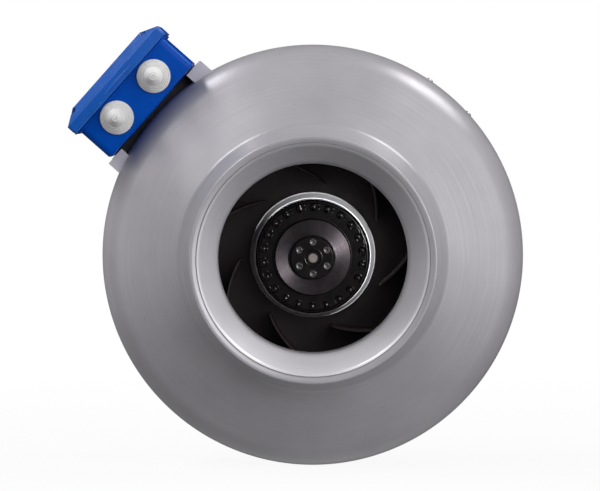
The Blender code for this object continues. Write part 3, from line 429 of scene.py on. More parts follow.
def ring_noise(tree, position, pitch, swirl=1.5, detail=2.0):
    """Noise in fine concentric lines that fade in and out round the axis."""
    radius, unit = polar(tree, position)
    parts = node(tree, "SeparateXYZ", {0: unit}).outputs
    inputs = {
        "X": calc(tree, "MULTIPLY", radius, 1.0 / (pitch * MM)),
        "Y": calc(tree, "MULTIPLY", parts["X"], swirl),
        "Z": calc(tree, "MULTIPLY", parts["Z"], swirl),
    }
    vector = node(tree, "CombineXYZ", inputs).outputs[0]
    return node(tree, "TexNoise", {"Vector": vector, "Scale": 1.0, "Detail": detail}).outputs["Fac"]


def mixed(tree, factor, first, second):
    """Mixes two colours; in a Mix node these are inputs 6 and 7, and output 2."""
    inputs = {0: factor}
    for index, value in ((6, first), (7, second)):
        inputs[index] = value if isinstance(value, bpy.types.NodeSocket) else (*value, 1.0)
    return node(tree, "Mix", inputs, data_type="RGBA").outputs[2]


def bump(tree, height, depth, normal=None):
    inputs = {"Height": height, "Distance": depth * MM, "Strength": 1.0}
    if normal is not None:
        inputs["Normal"] = normal
    return node(tree, "Bump", inputs).outputs["Normal"]


def material(
    name, dark, light, roughness, metallic=0.0, patch=25.0, grain=0.6, relief=0.012, rings=None, layers=None,
    specks=None, anisotropic=0.0, specular=0.5
):
    """A surface with patchy colour and roughness, a fine grain, and optional rings, layers and specks.

    rings are (pitch in mm, depth in mm, contrast), layers (pitch, depth) and specks (colour, share).
    """
    made = bpy.data.materials.new(name)
    made.use_nodes = True
    tree = made.node_tree
    shader = tree.nodes["Principled BSDF"]
    position = node(tree, "TexCoord").outputs["Object"]
    colour = mixed(tree, ranged(tree, noise(tree, position, patch), 0.0, 1.0), dark, light)
    rough = ranged(tree, noise(tree, position, patch * 0.4, 5.0, 0.6), *roughness)
    normal = bump(tree, noise(tree, position, grain, 4.0, 0.6), relief)
    if rings:
        pitch, depth, contrast = rings
        lines = ring_noise(tree, position, pitch)
        normal = bump(tree, lines, depth, normal)
        shade = ranged(tree, lines, 0.0, contrast)
        colour = mixed(tree, shade, colour, [c * 0.72 for c in dark])
        rough = calc(tree, "ADD", rough, ranged(tree, lines, -0.04, 0.05))
    if layers:
        pitch, depth = layers
        height = node(tree, "SeparateXYZ", {0: position}).outputs["Y"]
        wave = calc(tree, "SINE", calc(tree, "MULTIPLY", height, TURN / (pitch * MM)))
        normal = bump(tree, wave, depth, normal)
    if specks:
        tint, share = specks
        cells = node(tree, "TexVoronoi", {"Vector": position, "Scale": 1.0 / (0.7 * MM)}).outputs["Distance"]
        dots = ranged(tree, cells, 1.0, 0.0, share * 0.5, share)
        colour = mixed(tree, dots, colour, tint)
    tree.links.new(colour, shader.inputs["Base Color"])
    tree.links.new(rough, shader.inputs["Roughness"])
    tree.links.new(normal, shader.inputs["Normal"])
    shader.inputs["Metallic"].default_value = metallic
    shader.inputs["Specular IOR Level"].default_value = specular
    if anisotropic:
        shader.inputs["Anisotropic"].default_value = anisotropic
        shader.inputs["Anisotropic Rotation"].default_value = 0.25
        tangent = node(tree, "Tangent", direction_type="RADIAL", axis="Y").outputs[0]
        tree.links.new(tangent, shader.inputs["Tangent"])
    return made


LOOKS = {
    "silver_paint": material(
        "silver_spun_paint", (0.44, 0.425, 0.458), (0.49, 0.475, 0.508), (0.3, 0.38),
        metallic=0.22, patch=40.0, grain=0.5, relief=0.006, rings=(1.1, 0.012, 0.18)
    ),
    "silver_smooth": material(
        "silver_nozzle_paint", (0.475, 0.462, 0.49), (0.515, 0.502, 0.53), (0.3, 0.36),
        metallic=0.22, patch=40.0, grain=0.5, relief=0.006, rings=(0.8, 0.005, 0.15)
    ),
    "black_paint": material(
        "black_motor_paint", (0.003, 0.0022, 0.0023), (0.006, 0.0045, 0.0046), (0.1, 0.15),
        patch=12.0, grain=0.8, relief=0.008, specks=((0.02, 0.018, 0.018), 0.05),
        specular=0.28
    ),
    "black_plastic": material(
        "black_impeller_plastic", (0.019, 0.012, 0.0132), (0.031, 0.0205, 0.0225), (0.36, 0.5),
        patch=20.0, grain=0.5, relief=0.01, specular=0.28
    ),
    "label_film": material(
        "turned_label_film", (0.036, 0.03, 0.034), (0.056, 0.047, 0.053), (0.28, 0.34),
        metallic=0.85, patch=8.0, grain=0.4, relief=0.002, rings=(0.25, 0.002, 0.3), anisotropic=0.85
    ),
    "bright_steel": material(
        "bright_turned_steel", (0.55, 0.56, 0.58), (0.7, 0.71, 0.73), (0.22, 0.34),
        metallic=1.0, patch=6.0, grain=0.4, relief=0.004, layers=(0.7, 0.004)
    ),
    "oiled_steel": material(
        "oiled_shaft_steel", (0.1, 0.08, 0.075), (0.17, 0.14, 0.132), (0.3, 0.45),
        metallic=0.3, patch=3.0, grain=0.4, relief=0.01, rings=(0.4, 0.01, 0.3)
    ),
    "ring_zinc": material(
        "satin_ring_zinc", (0.62, 0.62, 0.64), (0.76, 0.76, 0.78), (0.34, 0.46),
        metallic=0.3, patch=5.0, grain=0.5, relief=0.004, layers=(2.1, 0.02),
        specks=((0.1, 0.09, 0.09), 0.03)
    ),
    "rivet_steel": material(
        "blackened_rivet_steel", (0.012, 0.01, 0.011), (0.13, 0.12, 0.12), (0.18, 0.3),
        metallic=0.5, patch=1.6, grain=0.5, relief=0.02
    ),
    "zinc_steel": material(
        "zinc_plated_steel", (0.42, 0.42, 0.41), (0.62, 0.62, 0.64), (0.28, 0.44),
        metallic=1.0, patch=5.0, grain=0.5, relief=0.006, specks=((0.7, 0.68, 0.6), 0.15)
    ),
    "lamination_steel": material(
        "stacked_laminations", (0.16, 0.16, 0.18), (0.3, 0.3, 0.32), (0.4, 0.6),
        metallic=1.0, patch=6.0, grain=0.4, relief=0.006, layers=(0.5, 0.05)
    ),
    "cast_aluminium": material(
        "cast_aluminium", (0.38, 0.38, 0.39), (0.52, 0.52, 0.53), (0.42, 0.62),
        metallic=1.0, patch=8.0, grain=0.9, relief=0.05, specks=((0.25, 0.25, 0.26), 0.16)
    ),
    "copper_wire": material(
        "enamelled_windings", (0.42, 0.16, 0.06), (0.62, 0.28, 0.12), (0.25, 0.42),
        metallic=0.9, patch=4.0, grain=0.5, relief=0.01, rings=(0.55, 0.12, 0.35)
    ),
    "blue_plastic": material(
        "blue_box_plastic", (0.000, 0.062, 0.39), (0.000, 0.07, 0.45), (0.24, 0.34),
        patch=30.0, grain=0.35, relief=0.005, specular=0.1
    ),
    # The lid is the same plastic as the base, but its blue is made lighter as painted sheen. Its higher specular
    # is the lid's real gloss.
    "lid_blue_sheen": material(
        "lid_plastic_painted_sheen", (0.005, 0.098, 0.45), (0.008, 0.11, 0.52), (0.2, 0.3),
        patch=30.0, grain=0.35, relief=0.003, specular=0.45
    ),
    "grey_rubber": material(
        "grey_grommet_rubber", (0.71, 0.7, 0.695), (0.79, 0.78, 0.775), (0.46, 0.62),
        patch=7.0, grain=0.4, relief=0.005
    ),
    "black_rubber": material(
        "black_rubber", (0.012, 0.012, 0.012), (0.026, 0.025, 0.025), (0.55, 0.78),
        patch=7.0, grain=0.5, relief=0.02
    ),
    "pale_plastic": material(
        "pale_moulded_plastic", (0.5, 0.48, 0.54), (0.6, 0.585, 0.63), (0.36, 0.52),
        patch=18.0, grain=0.4, relief=0.01
    ),
}


# Casing

SPIN_WAVES = ((2.3, 0.011, 0.4), (3.7, 0.015, 1.9), (5.9, 0.017, 4.1), (11.3, 0.020, 2.7))


def spin_marks(points, side=1.0):
    """Shallow uneven ridges left on the cone by spinning, as (radius, y) moves."""
    marked = []
    for radius, y in points:
        fade = max(0.0, min(1.0, (radius - 104.0) / 8.0, (164.0 - radius) / 14.0))
        height = 0.0
        for length, size, shift in SPIN_WAVES:
            height += size * sin(TURN * radius / length + shift + 0.7 * sin(radius / 7.0))
        marked.append((radius, y - side * fade * height))
    return marked


def inlet_casing():
    cone_end = INLET_SHOULDER - (CASING_RADIUS - FLARE_RADIUS) * CONE_RISE
    corners = [
        (RIM_INNER, INLET_RIM + RIM_DROP), (RIM_CREST, INLET_RIM), (SPIGOT_RADIUS, INLET_RIM),
        (SPIGOT_RADIUS, INLET_RIM + SPIGOT_LENGTH), (FLARE_RADIUS, cone_end),
        (CASING_RADIUS, INLET_SHOULDER), (CASING_RADIUS, LAP_END),
    ]
    path = rounded(corners, (4.0, 1.4, FLARE_ARC, ROOT_ARC, SHOULDER_ARC))
    outer = spin_marks(resampled(path, SPIN_STEP))
    inner = offset(path, SHEET)[::-1]
    piece = lathe("inlet_casing_shell", outer + inner, LOOKS["silver_paint"], soft=0.45)
    return belongs(piece, "housing", "silver_paint", "inlet_casing")


def outlet_corners():
    cone_end = OUTLET_SHOULDER + (CASING_RADIUS - FLARE_RADIUS) * CONE_RISE
    corners = [
        (LAP_RADIUS, -5.0), (LAP_RADIUS, LAP_END + GAP), (CASING_RADIUS, LAP_END + GAP),
        (CASING_RADIUS, OUTLET_SHOULDER), (FLARE_RADIUS, cone_end),
        (SPIGOT_RADIUS, OUTLET_RIM - SPIGOT_LENGTH), (SPIGOT_RADIUS, OUTLET_RIM),
    ]
    return corners, (0.6, 0.6, SHOULDER_ARC, ROOT_ARC, FLARE_ARC)


def outlet_casing():
    corners, radii = outlet_corners()
    path = rounded(corners, radii)
    outer = spin_marks(resampled(path, SPIN_STEP), -1.0)
    inner = offset(path, SHEET)[:-1]
    hem = [
        (SPIGOT_RADIUS - SHEET, OUTLET_RIM - HEM_LENGTH),
        (SPIGOT_RADIUS - HEM, OUTLET_RIM - HEM_LENGTH), (SPIGOT_RADIUS - HEM, OUTLET_RIM),
    ]
    piece = lathe("outlet_casing_shell", outer + (inner + hem)[::-1], LOOKS["silver_paint"], soft=0.9)
    return belongs(piece, "housing", "silver_paint", "outlet_casing")


def inlet_nozzle():
    """A funnel whose flange lies behind the rim; its cone comes up flush with the rim's inner edge."""
    start = INLET_RIM + RIM_DROP + SHEET + 0.4
    level = INLET_RIM + RIM_DROP + 0.15
    flange_outer = SPIGOT_RADIUS - SHEET - 2 * GAP
    lip = RIM_INNER - 0.25
    flange = start - (flange_outer - RIM_INNER) * RIM_DROP / (RIM_CREST - RIM_INNER)
    fall = (NOZZLE_CONE - THROAT_RADIUS) * 1.4
    cone = [(NOZZLE_CONE, level + 1.2), (THROAT_RADIUS, level + 1.2 + fall), (THROAT_RADIUS, NOZZLE_END)]
    front = [(flange_outer, flange), (lip, start), (lip, level + 0.3), (lip - 0.3, level)]
    front += rounded([(lip - 0.3, level)] + cone, (4.0, NOZZLE_ARC))[1:]
    back = offset(rounded([(flange_outer, flange)] + cone, (4.0, NOZZLE_ARC)), -2.2)
    back[0] = (flange_outer, flange + 1.0)
    piece = lathe("inlet_nozzle_funnel", front + back[::-1], LOOKS["silver_smooth"], soft=0.15)
    return belongs(piece, "housing", "silver_paint", "inlet_nozzle")


# Fasteners

def screw(name, place, head, height, shank, length):
    """A zinc-plated pan-head screw with a cross recess: its head's underside is at y = 0 and faces +Y."""
    outline = [
        (0.0, -height), (head * 0.45, -height), (head * 0.8, -height * 0.86),
        (head * 0.97, -height * 0.45), (head, -height * 0.12), (head * 0.97, 0.0), (shank, 0.0),
        (shank, length - shank), (shank * 0.4, length), (0.0, length),
    ]
    look = LOOKS["zinc_steel"]
    piece = lathe(name, outline, look, place, 40, 0.2)
    recess = []
    for turn in (0.0, pi / 2):
        wide, deep = head * 0.5, head * 0.13
        loops = []
        for y, share in ((-height - 1.0, 1.25), (-height + 0.62 * height, 0.45)):
            corners = ((-wide, -deep), (wide, -deep), (wide, deep), (-wide, deep))
            loops.append([(x * share, y, z) for x, z in corners])
        verts, faces = lofted(loops)
        turned_place = place @ Matrix.Rotation(turn, 4, "Y")
        recess.append(new_piece("recess", verts, faces, turned_place, look))
    return cut(piece, recess)


def outlet_arc_centre():
    turn = pi / 2 - atan2(CONE_RISE, 1.0)
    return (CASING_RADIUS - SHOULDER_ARC, OUTLET_SHOULDER - SHOULDER_ARC * tan(turn / 2))


def casing_screws():
    seat = radians(25.0)
    radius, y = arc(outlet_arc_centre(), SHOULDER_ARC, seat, seat, 1)[0]
    for number in range(1, 5):
        angle = TURN * (number - 1) / 4
        outwards = around(angle, cos(seat), sin(seat))
        place = headed(FAN_PLACE, around(angle, radius, y) + outwards * GAP, outwards)
        piece = screw(f"bracket_screw_head_{number}", place, head=3.8, height=2.0, shank=2.0, length=8.0)
        belongs(piece, "housing", "zinc_steel", f"bracket_screw_{number}")
        place = headed(FAN_PLACE, around(angle, 36.0, BRACKET_FACES[1] + GAP), (0, 1, 0))
        piece = screw(f"flange_screw_head_{number}", place, head=3.8, height=2.4, shank=2.0, length=5.0)
        belongs(piece, "housing", "zinc_steel", f"flange_screw_{number}")
    for number, angle in enumerate((radians(34.0), radians(48.0)), 1):
        place = headed(FAN_PLACE, around(angle, CASING_RADIUS + GAP, 16.0), around(angle, 1.0, 0.0))
        piece = screw(f"wall_fixing_head_{number}", place, head=3.0, height=1.2, shank=1.8, length=6.0)
        belongs(piece, "housing", "zinc_steel", f"wall_fixing_{number}")


def box_screws():
    for number, side in enumerate((-1, 1), 1):
        place = headed(BOX_PLACE, (side * BOX_SCREW[0], BOX_SCREW[1], BOX_WALL + GAP), (0, 0, 1))
        piece = screw(f"box_screw_head_{number}", place, head=3.8, height=2.2, shank=2.0, length=19.0)
        belongs(piece, "housing", "zinc_steel", f"box_screw_{number}")
    for number, (x, y) in enumerate(LID_CORNERS, 1):
        place = headed(BOX_PLACE, (x, y, LID_SCREW_SEAT + GAP), (0, 0, 1))
        piece = screw(f"lid_screw_head_{number}", place, head=3.5, height=2.4, shank=1.6, length=20.0)
        belongs(piece, "lid", "zinc_steel", f"lid_screw_{number}")


# Rotor

def louvre_height(radius, angle):
    """Raised and sunk parts of the cup's front face: a row of half-round louvres with open ends."""
    step = TURN / VENTS
    turn = (angle - radians(1.0) + step / 2) % step - step / 2
    along, out = radius * turn, radius - VENT_CIRCLE
    dome = max(0.0, 1.0 - (along * along + out * out) / LOUVRE_RADIUS**2)
    height = LOUVRE_HEIGHT * dome**0.55
    if 1.1 < along < 4.2 and -1.9 < out < 2.3:
        height = -2.0 if along < 3.6 else 0.35
    return height


def rotor_cup():
    front = [
        (9.0, CUP_FRONT), (BOSS_RADIUS - 1.5, CUP_FRONT), (BOSS_RADIUS, CUP_FRONT + 1.5),
        (BOSS_RADIUS, CUP_FACE), (CUP_RADIUS - 3.2, CUP_FACE), (CUP_RADIUS - 2.4, CUP_FACE + 1.4),
        (CUP_RADIUS - 1.5, CUP_FACE + 1.4), (CUP_RADIUS - 0.6, CUP_FACE + 2.4),
        (CUP_RADIUS, CUP_FACE + 4.6),
    ]
    inner = CUP_RADIUS - CUP_WALL
    boss = BOSS_RADIUS - CUP_WALL
    rear = [
        (CUP_RADIUS, CUP_FLANGE[0]), (CUP_FLANGE_RADIUS, CUP_FLANGE[0]),
        (CUP_FLANGE_RADIUS, CUP_FLANGE[1]), (CUP_RADIUS, CUP_FLANGE[1]), (CUP_RADIUS, CUP_REAR),
        (inner, CUP_REAR), (inner, CUP_FACE + CUP_WALL), (boss, CUP_FACE + CUP_WALL),
        (boss, CUP_FRONT + CUP_WALL), (9.0, CUP_FRONT + CUP_WALL),
    ]
    outline = softened(front + rear, 0.5)
    fine = []
    for here, there in zip(outline, outline[1:] + outline[:1]):
        on_face = abs(here[1] - CUP_FACE) < 0.01 and abs(there[1] - CUP_FACE) < 0.01
        fine += resampled([here, there], 0.34 if on_face else 40.0)[:-1]
    sides = VENTS * 32
    verts, faces = turned(fine, sides)
    shaped = []
    for x, y, z in verts:
        radius = sqrt(x * x + z * z)
        if abs(y - CUP_FACE) < 0.01 and 34.0 < radius < CUP_RADIUS - 3.3:
            y -= louvre_height(radius, atan2(x, z) % TURN)
        shaped.append((x, y, z))
    piece = new_piece("rotor_cup_shell", shaped, faces, FAN_PLACE, LOOKS["black_paint"])
    return belongs(piece, "rotor", "black_paint", "rotor_cup")


def label_disc():
    outline = [
        (LABEL_INNER, CUP_FRONT - LABEL_FACE), (LABEL_OUTER, CUP_FRONT - LABEL_FACE),
        (LABEL_OUTER, CUP_FRONT - GAP), (LABEL_INNER, CUP_FRONT - GAP),
    ]
    piece = lathe("label_disc_film", outline, LOOKS["label_film"], soft=0.25)
    return belongs(piece, "rotor", "label_film", "label_disc")


def rotor_hub():
    outline = [
        (SHAFT_RADIUS + GAP, HUB_FACE + 0.6), (6.2, HUB_FACE + 0.6), (6.6, HUB_FACE),
        (7.4, HUB_FACE), (7.8, HUB_FACE + 0.5), (HUB_RADIUS - 1.2, HUB_FACE + 0.5),
        (HUB_RADIUS, HUB_FACE + 1.7), (HUB_RADIUS, CUP_FRONT - GAP), (8.7, CUP_FRONT - GAP),
        (8.7, -50.0), (SHAFT_RADIUS + GAP, -50.0),
    ]
    piece = lathe("rotor_hub_boss", outline, LOOKS["black_paint"], sides=160, soft=0.35)
    belongs(piece, "rotor", "black_paint", "rotor_hub")
    outline = [
        (0.0, HUB_FACE - 0.4), (0.9, HUB_FACE - 0.4), (1.3, HUB_FACE - 1.2), (2.2, HUB_FACE - 1.3),
        (3.0, HUB_FACE - 0.5), (3.1, HUB_FACE + 0.2), (1.5, HUB_FACE + 0.2), (1.5, -55.4),
        (2.6, -55.4), (2.6, -54.2), (0.0, -54.2),
    ]
    for i in range(RIVETS):
        place = FAN_PLACE @ Matrix.Translation(around(TURN * i / RIVETS, RIVET_CIRCLE, 0.0))
        rivet = lathe(f"hub_rivet_head_{i + 1}", outline, LOOKS["rivet_steel"], place, 32, 0.25)
        belongs(rivet, "rotor", "zinc_steel", f"hub_rivet_{i + 1}")


def clamp_ring():
    outline = [
        (CUP_RADIUS + GAP, -30.0), (CUP_RADIUS + 0.9, -30.0), (CUP_RADIUS + 1.3, -29.0),
        (CUP_RADIUS + 4.0, -10.0), (CUP_RADIUS + 4.3, -7.6), (CLAMP_RADIUS, -7.0),
        (CLAMP_RADIUS, -GAP), (CUP_RADIUS + GAP, -GAP),
    ]
    piece = lathe("rotor_clamp_ring", outline, LOOKS["ring_zinc"], soft=0.3)
    return belongs(piece, "rotor", "bright_steel", "clamp_ring")


def shaft():
    outline = [
        (0.0, HUB_FACE - 3.0), (3.2, HUB_FACE - 3.0), (SHAFT_RADIUS, HUB_FACE - 2.3),
        (SHAFT_RADIUS, -49.5), (5.2, -49.5), (5.2, -37.2), (SHAFT_RADIUS, -37.2),
        (SHAFT_RADIUS, 16.7), (3.2, 16.7), (3.2, 18.1), (SHAFT_RADIUS, 18.1), (SHAFT_RADIUS, 20.0),
        (3.5, 20.5), (0.0, 20.5),
    ]
    piece = lathe("motor_shaft", outline, LOOKS["oiled_steel"], sides=SMALL, soft=0.15)
    belongs(piece, "rotor", "bright_steel", "shaft")
    clip = lathe(
        "shaft_circlip_ring", [(3.5, 16.9), (6.4, 16.9), (6.4, 17.8), (3.5, 17.8)], LOOKS["zinc_steel"],
        sides=SMALL, soft=0.2
    )
    belongs(clip, "rotor", "zinc_steel", "shaft_circlip")


def shroud_path():
    corners = [(79.0, -64.0), (82.0, -54.0), (94.0, -46.0), (IMPELLER_RADIUS, -40.0)]
    return rounded(corners, (6.0, 12.0))


def blade_top(radius):
    """How far forward a blade reaches at a radius."""
    edge = [(BLADE_INNER, -38.0), (78.0, -50.0), (82.6, -53.2), (94.0, -46.0), (IMPELLER_RADIUS, -40.0)]
    for (r0, y0), (r1, y1) in zip(edge, edge[1:]):
        if radius <= r1:
            return y0 + (y1 - y0) * (radius - r0) / (r1 - r0) + 0.6
    return edge[-1][1]


def blade(number):
    """A backward-curved blade with rounded edges."""
    turn = TURN * (number + 0.2) / BLADES
    steps = 40
    last = IMPELLER_RADIUS - 1.0
    section = ((-1.0, 0.25), (-0.75, 0.0), (0.75, 0.0), (1.0, 0.25))
    loops = []
    for i in range(steps + 1):
        radius = BLADE_INNER + (last - BLADE_INNER) * i / steps
        thin = 0.35 + 0.65 * min(1.0, min(i, steps - i) / 1.5)
        middle = turn - log(radius / BLADE_INNER) / tan(BLADE_ANGLE)
        half = 0.8 * thin / sin(BLADE_ANGLE) / radius
        top = blade_top(radius)
        loop = [around(middle + half * side, radius, top + drop) for side, drop in section]
        loop += [around(middle + half * side, radius, BACK_PLATE / 2) for side in (1, -1)]
        loops.append(loop)
    return lofted(loops)


def impeller():
    bore = CUP_RADIUS + GAP
    outline = [(bore, 0.0), (IMPELLER_RADIUS, 0.0), (IMPELLER_RADIUS, BACK_PLATE), (bore, BACK_PLATE)]
    plate = lathe("impeller_back_plate", outline, LOOKS["black_plastic"], sides=192, soft=0.5)
    blades = []
    for number in range(BLADES):
        verts, faces = blade(number)
        blades.append(new_piece("blade", verts, faces, FAN_PLACE, LOOKS["black_plastic"]))
    cut(plate, blades, "UNION")
    belongs(plate, "rotor", "black_plastic", "impeller_hub")
    path = shroud_path()
    outline = path + offset(path, -SHROUD_SHEET)[::-1]
    shroud = lathe("impeller_shroud_ring", outline, LOOKS["black_plastic"], sides=192)
    belongs(shroud, "rotor", "black_plastic", "impeller_shroud")


# Motor mount

def motor_bracket():
    front, rear = BRACKET_FACES
    disc = [(12.0, front), (50.0, front), (50.0, rear), (12.0, rear)]
    piece = lathe("motor_bracket_plate", disc, LOOKS["zinc_steel"], sides=96, soft=0.4)
    tab = arc(outlet_arc_centre(), SHOULDER_ARC - SHEET - TAB_GAP, radians(16), radians(36), 6)
    corners = [(30.0, front), (52.0, front), (64.0, ARM_FACE), (tab[0][0] - 1.0, ARM_FACE)]
    path = rounded(corners, (5.0, 5.0), radians(10)) + tab
    strip = supported(path + offset(path, rear - front)[::-1], True)
    arms = []
    for number in range(4):
        loops = []
        for x in (-8.0, -7.6, -4.5, -3.7, 3.7, 4.5, 7.6, 8.0):
            inset = 0.25 if abs(x) == 8.0 else 0.0
            loops.append([(x, y, radius - inset) for radius, y in strip])
        verts, faces = lofted(loops)
        place = FAN_PLACE @ Matrix.Rotation(TURN * number / 4, 4, "Y")
        arms.append(new_piece("arm", verts, faces, place, LOOKS["zinc_steel"]))
    cut(piece, arms, "UNION")
    return belongs(piece, "housing", "zinc_steel", "motor_bracket")


def stator_flange():
    front, rear = FLANGE_FACES
    outline = [
        (11.2, -37.9), (14.0, -37.9), (14.0, front), (42.0, front), (42.0, rear), (24.0, rear),
        (23.2, rear - 0.8), (16.0, rear - 0.8), (15.2, rear), (11.2, rear), (11.2, 9.1),
        (9.3, 9.1), (9.3, -28.4), (11.2, -28.4),
    ]
    piece = lathe("stator_flange_casting", outline, LOOKS["cast_aluminium"], sides=128, soft=0.4)
    return belongs(piece, "housing", "cast_aluminium", "stator_flange")


def bearing_race(name, middle, flat, rim, groove, body):
    """A race with a flat face towards its seat and a groove for the balls."""
    front, rear = middle - BEARING_HALF, middle + BEARING_HALF
    outline = [
        (flat, front), (rim, front), (rim, middle - 1.4), (rim + groove, middle), (rim, middle + 1.4),
        (rim, rear), (flat, rear),
    ]
    piece = lathe(f"{name}_ring", outline, LOOKS["bright_steel"], sides=SMALL, soft=0.25)
    return belongs(piece, body, "bright_steel", name)


def bearings():
    for end, middle in BEARINGS:
        bearing_race(f"{end}_bearing_outer_race", middle, flat=10.9, rim=9.0, groove=0.45, body="housing")
        bearing_race(f"{end}_bearing_inner_race", middle, flat=4.3, rim=6.0, groove=-0.45, body="rotor")


def motor_cable():
    end = BOX_BASE + 7.0
    corners = [(36.0, FLANGE_FACES[0]), (36.0, 29.0), (80.0, 29.0), (130.0, CABLE_PLANE), (end, CABLE_PLANE)]
    path = resampled(rounded(corners, (4.5, 20.0, 20.0), radians(8)), 6.0)
    loops = []
    sides = 20
    for i, (radius, y) in enumerate(path):
        before, after = Vector(path[max(i - 1, 0)]), Vector(path[min(i + 1, len(path) - 1)])
        along = (after - before).normalized()
        loop = []
        for side in range(sides):
            angle = TURN * side / sides
            out = CABLE_RADIUS * cos(angle)
            loop.append((CABLE_RADIUS * sin(angle), y + along.x * out, radius - along.y * out))
        loops.append(loop)
    verts, faces = lofted(loops)
    place = FAN_PLACE @ Matrix.Rotation(-BOX_TILT, 4, "Y")
    piece = new_piece("motor_cable_sheath", verts, faces, place, LOOKS["black_rubber"])
    return belongs(piece, "housing", "black_rubber", "motor_cable")


# Terminal box

def upright(radius, low, high, x, y):
    """A pin along the box's own Z, to cut with or to add."""
    verts, faces = turned([(0.0, low), (radius, low), (radius, high), (0.0, high)], 32, False)
    place = BOX_PLACE @ Matrix.Translation((x, y, 0.0)) @ Matrix.Rotation(pi / 2, 4, "X")
    return new_piece("pin", verts, faces, place, LOOKS["blue_plastic"])


def posts(radius, low, high):
    """Pins at the lid's four screws."""
    return [upright(radius, low, high, x, y) for x, y in LID_CORNERS]


def terminal_box_base():
    inside = [(40.0, BOX_WALL), (BOX_WALL, BOX_WALL), (BOX_WALL, BOX_RIM)]
    outside = [
        (-2.4, BOX_RIM), (-2.4, 31.8), (0.0, 31.8), (0.0, 1.6), (1.6, 0.0), (40.0, 0.0),
    ]
    verts, faces = tray(BOX_LENGTH, BOX_DEPTH, 6.0, inside + outside, 0.6)
    piece = new_piece("terminal_box_body", verts, faces, BOX_PLACE, LOOKS["blue_plastic"])
    cut(piece, posts(BASE_POST_RADIUS, 1.0, BOX_RIM - 0.05), "UNION")
    holes = posts(LID_SCREW_HOLE, 14.0, BOX_RIM + 5.0)
    for side in (-1, 1):
        place = BOX_PLACE @ Matrix.Translation((side * GROMMET_SPACING / 2, -BOX_DEPTH / 2, GROMMET_HEIGHT))
        verts, faces = turned([(0.0, -6.0), (GROMMET_HOLE, -6.0), (GROMMET_HOLE, 6.0), (0.0, 6.0)], 48, False)
        holes.append(new_piece("hole", verts, faces, place, LOOKS["blue_plastic"]))
        holes.append(upright(BOX_SCREW_HOLE, -6.0, 6.0, side * BOX_SCREW[0], BOX_SCREW[1]))
    holes.append(upright(CABLE_HOLE, -6.0, 6.0, -BOX_SHIFT, CABLE_PLANE))
    cut(piece, holes)
    return belongs(piece, "housing", "blue_plastic", "terminal_box_base")


def edge_teeth():
    """The row of small teeth under the box's front edge."""
    verts, faces = [], []
    for i in range(TEETH):
        x = (i - (TEETH - 1) / 2) * TOOTH_PITCH
        loops = []
        for y in (-BOX_DEPTH / 2 + 0.9, -BOX_DEPTH / 2 + 3.5):
            loops.append([(x - 0.8, y, 0.6), (x - 0.6, y, -0.9), (x + 0.6, y, -0.9), (x + 0.8, y, 0.6)])
        made_verts, made_faces = lofted(loops)
        faces += [tuple(index + len(verts) for index in face) for face in made_faces]
        verts += made_verts
    piece = new_piece("terminal_box_edge_teeth", verts, faces, BOX_PLACE, LOOKS["blue_plastic"])
    return belongs(piece, "housing", "blue_plastic")


def terminal_box_lid():
    length = BOX_LENGTH + 2 * LID_OVERHANG
    depth = BOX_DEPTH + 2 * LID_OVERHANG
    low = BOX_RIM + GAP
    outside = [
        (45.0, low), (0.0, low), (0.0, low + 0.8), (0.35, low + 1.1), (0.35, low + 1.7), (0.0, low + 2.0),
        (0.0, LID_BAND_TOP), (LID_CHAMFER, LID_TOP), (45.0, LID_TOP),
    ]
    verts, faces = tray(length, depth, 2.6, outside, 0.35)
    piece = new_piece("terminal_box_cover", verts, faces, BOX_PLACE, LOOKS["lid_blue_sheen"])
    inside = [
        (45.0, low - 5.0), (2.0, low - 5.0), (2.0, LID_BAND_TOP - 1.2), (LID_CHAMFER + 0.8, LID_TOP - 2.0),
        (45.0, LID_TOP - 2.0),
    ]
    verts, faces = tray(length, depth, 2.6, inside, 0.35)
    cavity = new_piece("cavity", verts, faces, BOX_PLACE, LOOKS["blue_plastic"])
    cut(cavity, posts(LID_POST_RADIUS, low, LID_TOP + 5.0))
    wells = posts(LID_WELL_RADIUS, LID_SCREW_SEAT, LID_TOP + 5.0)
    cut(piece, [cavity] + wells + posts(LID_SCREW_HOLE, 20.0, 45.0))
    return belongs(piece, "lid", "blue_plastic", "terminal_box_lid")


def lid_rib():
    """The lens-shaped finger grip on the lid's front band."""
    front = -(BOX_DEPTH + 2 * LID_OVERHANG) / 2
    steps = 36
    loops = []
    for i in range(steps + 1):
        share = -1 + 2 * i / steps
        swell = max(1.0 - share * share, 0.0)
        x = 18.5 * share
        tall = 0.12 + 1.25 * swell
        proud = 0.1 + 0.9 * swell**0.7
        middle = 37.4
        loop = []
        for k in range(9):
            angle = -pi / 2 + pi * k / 8
            loop.append((x, front - proud * cos(angle), middle + tall * sin(angle)))
        loop += [(x, front + 0.6, middle + tall), (x, front + 0.6, middle - tall)]
        loops.append(loop)
    verts, faces = lofted(loops)
    piece = new_piece("terminal_box_lid_grip", verts, faces, BOX_PLACE, LOOKS["lid_blue_sheen"])
    return belongs(piece, "lid", "blue_plastic")


def lid_gasket():
    length = BOX_LENGTH + 2 * LID_OVERHANG - 2 * GASKET_INSET
    depth = BOX_DEPTH + 2 * LID_OVERHANG - 2 * GASKET_INSET
    low = BOX_RIM + GAP
    section = [  # (inset, corner, height) round the cord
        (2.4, 2.0, 0.3), (2.4, 2.0, 1.3), (2.0, 2.0, 1.6), (0.4, 2.2, 1.6),
        (0.0, 2.4, 1.3), (0.0, 2.4, 0.3), (0.4, 2.2, 0.0), (2.0, 2.0, 0.0),
    ]
    loops = [
        rounded_rectangle(length - 2 * inset, depth - 2 * inset, corner, low + height)
        for inset, corner, height in section
    ]
    verts = [point for loop in loops for point in loop]
    faces = skin(len(loops), len(loops[0]), True)
    piece = new_piece("lid_gasket_cord", verts, faces, BOX_PLACE, LOOKS["black_rubber"])
    return belongs(piece, "lid", "black_rubber", "lid_gasket")


